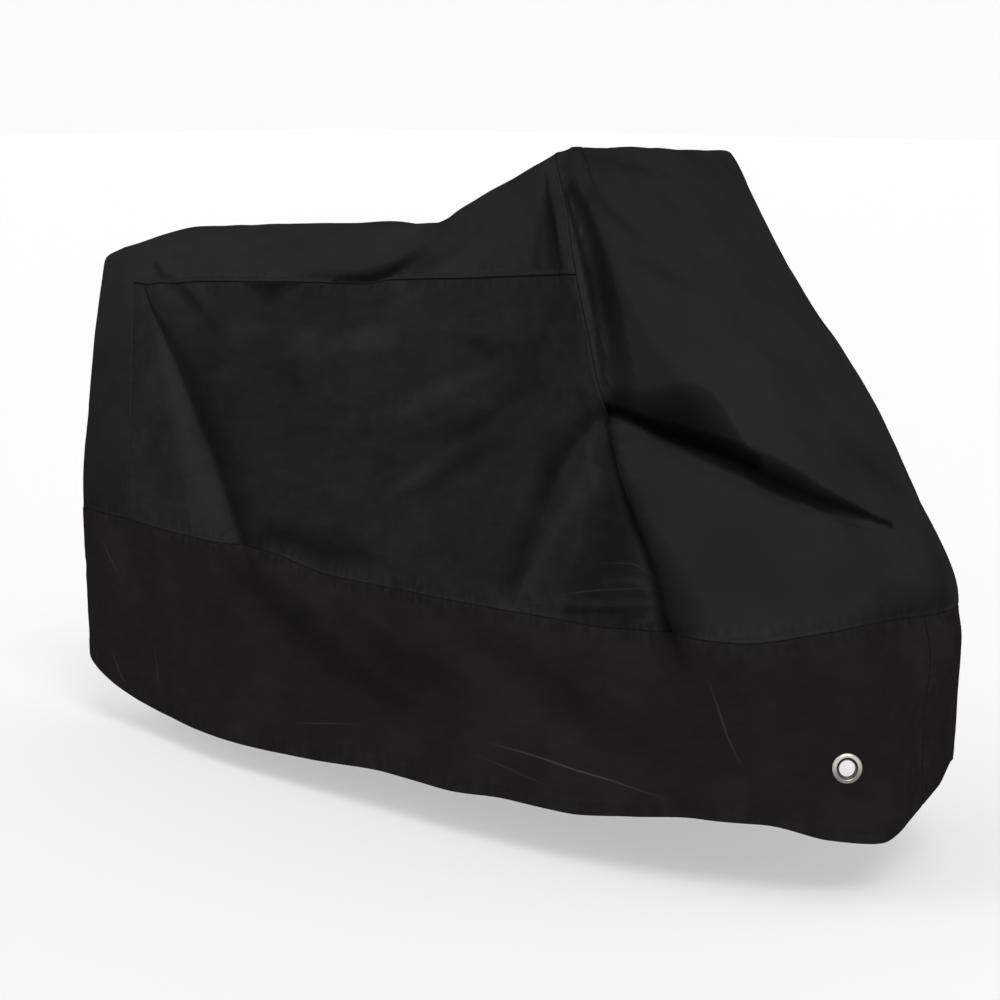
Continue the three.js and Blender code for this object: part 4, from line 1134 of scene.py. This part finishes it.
nickel, tree, shader = new_finish("nickel_plated_steel")
bore_shadow, low, rings = [kept_number(tree, label) for label in ("bore_shadow", "low", "rings")]
place = add_node(tree, "ShaderNodeTexCoord").outputs["Object"]
tarnish = Number(add_node(tree, "ShaderNodeTexNoise", {"Vector": place, "Scale": 420.0, "Detail": 3.0}))
scratch = Number(add_node(tree, "ShaderNodeTexNoise", {"W": rings, "Scale": 6.0, "Detail": 3.0},
                          noise_dimensions="1D"))
# Painted shadow darkens the groove and the bore, most at the top under the rim, and the lower half of a
# polished ring mirrors the dark cloth below it, which is drawn here as a painted reflection. Tarnish is
# random.
tarnish_and_shade = bore_shadow * 0.95 + tarnish * 0.12 + low * 0.6
plated = add_node(tree, "ShaderNodeMix", {"Factor": tarnish_and_shade, "A": linear("cfccc6"), "B": linear("242220")},
                  data_type="RGBA", clamp_factor=True)
tree.links.new(plated.outputs["Result"], shader.inputs["Base Color"])
rough = add_node(tree, "ShaderNodeMapRange", {"Value": scratch, "From Min": 0.3, "From Max": 0.7,
                                              "To Min": 0.16, "To Max": 0.34})
tree.links.new(rough.outputs["Result"], shader.inputs["Roughness"])
fine = add_node(tree, "ShaderNodeBump", {"Height": scratch, "Strength": 0.3, "Distance": 0.0002})
tree.links.new(fine.outputs["Normal"], shader.inputs["Normal"])
shader.inputs["Metallic"].default_value = 1.0

metal = {}
for side, (centre, axis) in eyelet_places.items():
    for part, section in (("eyelet", EYELET_SECTION), ("eyelet_washer", WASHER_SECTION)):
        piece = metal[part, side] = turned(f"turned_{part}_{side}", section, centre, axis)
        piece.data.materials.append(nickel)
        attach(piece, "root")
        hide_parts(f"{part}_{side}")
print(len(metal), "turned pieces of", len(metal["eyelet", "right"].data.polygons), "quads or fewer")

# %% Sheets and their finishes
SLOTS = {"cloth_skirt_right": ("skirt_cloth", skirt_finish), "cloth_skirt_left": ("skirt_cloth", skirt_finish)}
STANDS_FOR = {"cloth_top": "top_strip", "cloth_front": "front_panel", "cloth_side_right": "side_right",
              "cloth_side_left": "side_left", "cloth_skirt_right": "skirt_right",
              "cloth_skirt_left": "skirt_left"}
for name, piece in cloth.items():
    slot, finish = SLOTS.get(name, ("upper_cloth", upper_finish))
    piece.data.materials.append(finish)
    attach(piece, "root")
    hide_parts(STANDS_FOR[name])

# Each panel's flat size as cut, in metres: its width, its length, and the panels that hold it up
FLAT_SIZES = {
    "cloth_top": (1.0, 1.95, ["cloth_side_right", "cloth_side_left", "cloth_front"]),
    "cloth_side_right": (1.35, 0.62, ["cloth_top", "cloth_front"]),
    "cloth_side_left": (1.25, 0.62, ["cloth_top", "cloth_front"]),
    "cloth_front": (1.1, 1.0, ["cloth_top", "cloth_side_right", "cloth_side_left"]),
    "cloth_skirt_right": (2.15, 0.42, ["cloth_side_right", "cloth_front", "cloth_top"]),
    "cloth_skirt_left": (2.05, 0.42, ["cloth_side_left", "cloth_front", "cloth_top"]),
}
for name, (width, length, held_by) in FLAT_SIZES.items():
    side = name.removeprefix(SKIRT + "_")
    pressed = [piece for (part, at), piece in metal.items() if at == side]

# %% [markdown]
# ## Camera, floor and light
# A cover is pictured from far enough away, with a long lens, that its two ends look alike in size. The camera
# stands off its right front corner, a little above its top. Black cloth shows its folds only in soft light
# from one side, so the key is a wide sun on the right, and the fill is a wider and weaker one on the left.
# The white walls of a studio are the world. Below is a table of opal glass lit from underneath, as product
# photographers use, which keeps the shadow pale.

# %% Camera
camera = in_scene("camera", bpy.data.cameras.new("camera"))
camera.data.sensor_width, camera.data.lens = 36.0, 111.6
camera.location = (3.855, -3.864, 0.284)
camera.rotation_euler = (math.radians(90 - 7.971), 0, math.radians(42))
camera.data.clip_end = 200
bpy.context.scene.camera = camera
bpy.context.scene.view_settings.view_transform = "Standard"

# %% Floor and lights
floor_mesh = bpy.data.meshes.new("floor")
half, low = 40.0, -HANG[2] / 1000
floor_mesh.from_pydata([(-half, -half, low), (half, -half, low), (half, half, low), (-half, half, low)], [],
                       [(0, 1, 2, 3)])
floor = in_scene("floor", floor_mesh)
# Opal glass gives back light evenly from every side, and the lamps under it fill the shadow
table, tree, shader = new_finish("lit_opal_glass")
shader.inputs["Base Color"].default_value = (0.42, 0.42, 0.42, 1)
shader.inputs["Roughness"].default_value = 0.9
shader.inputs["Emission Color"].default_value = (1, 1, 1, 1)
shader.inputs["Emission Strength"].default_value = 0.46
floor_mesh.materials.append(table)

world = bpy.data.worlds.new("studio")
bpy.context.scene.world = world
world.use_nodes = True
tree = world.node_tree
way = add_node(tree, "ShaderNodeTexCoord").outputs["Generated"]
height = add_node(tree, "ShaderNodeSeparateXYZ", {"Vector": way}).outputs["Z"]
wall = add_node(tree, "ShaderNodeMapRange", {"Value": height, "From Min": 0.25, "From Max": 0.5,
                                             "To Min": 0.97, "To Max": 0.7}, interpolation_type="SMOOTHSTEP")
tree.links.new(wall.outputs["Result"], tree.nodes["Background"].inputs["Strength"])
tree.nodes["Background"].inputs["Color"].default_value = (1, 1, 1, 1)

# Suns that shine from a place towards the origin. Columns: name, place, degrees across, strength
LIGHTS = [
    ("key, right", (2.3, -1.6, 2.7), 24, 1.5),
    ("fill, left", (-2.4, -2.0, 2.2), 50, 0.5),
]
for name, place, across, strength in LIGHTS:
    sun = bpy.data.lights.new(name, "SUN")
    sun.energy, sun.angle = strength, math.radians(across)
    lamp = in_scene(name, sun)
    lamp.location = place
    x, y, z = place
    lamp.rotation_euler = (math.atan2(math.hypot(x, y), z), 0, math.atan2(x, -y))
print(len(LIGHTS), "suns, camera", tuple(round(value, 3) for value in camera.location))
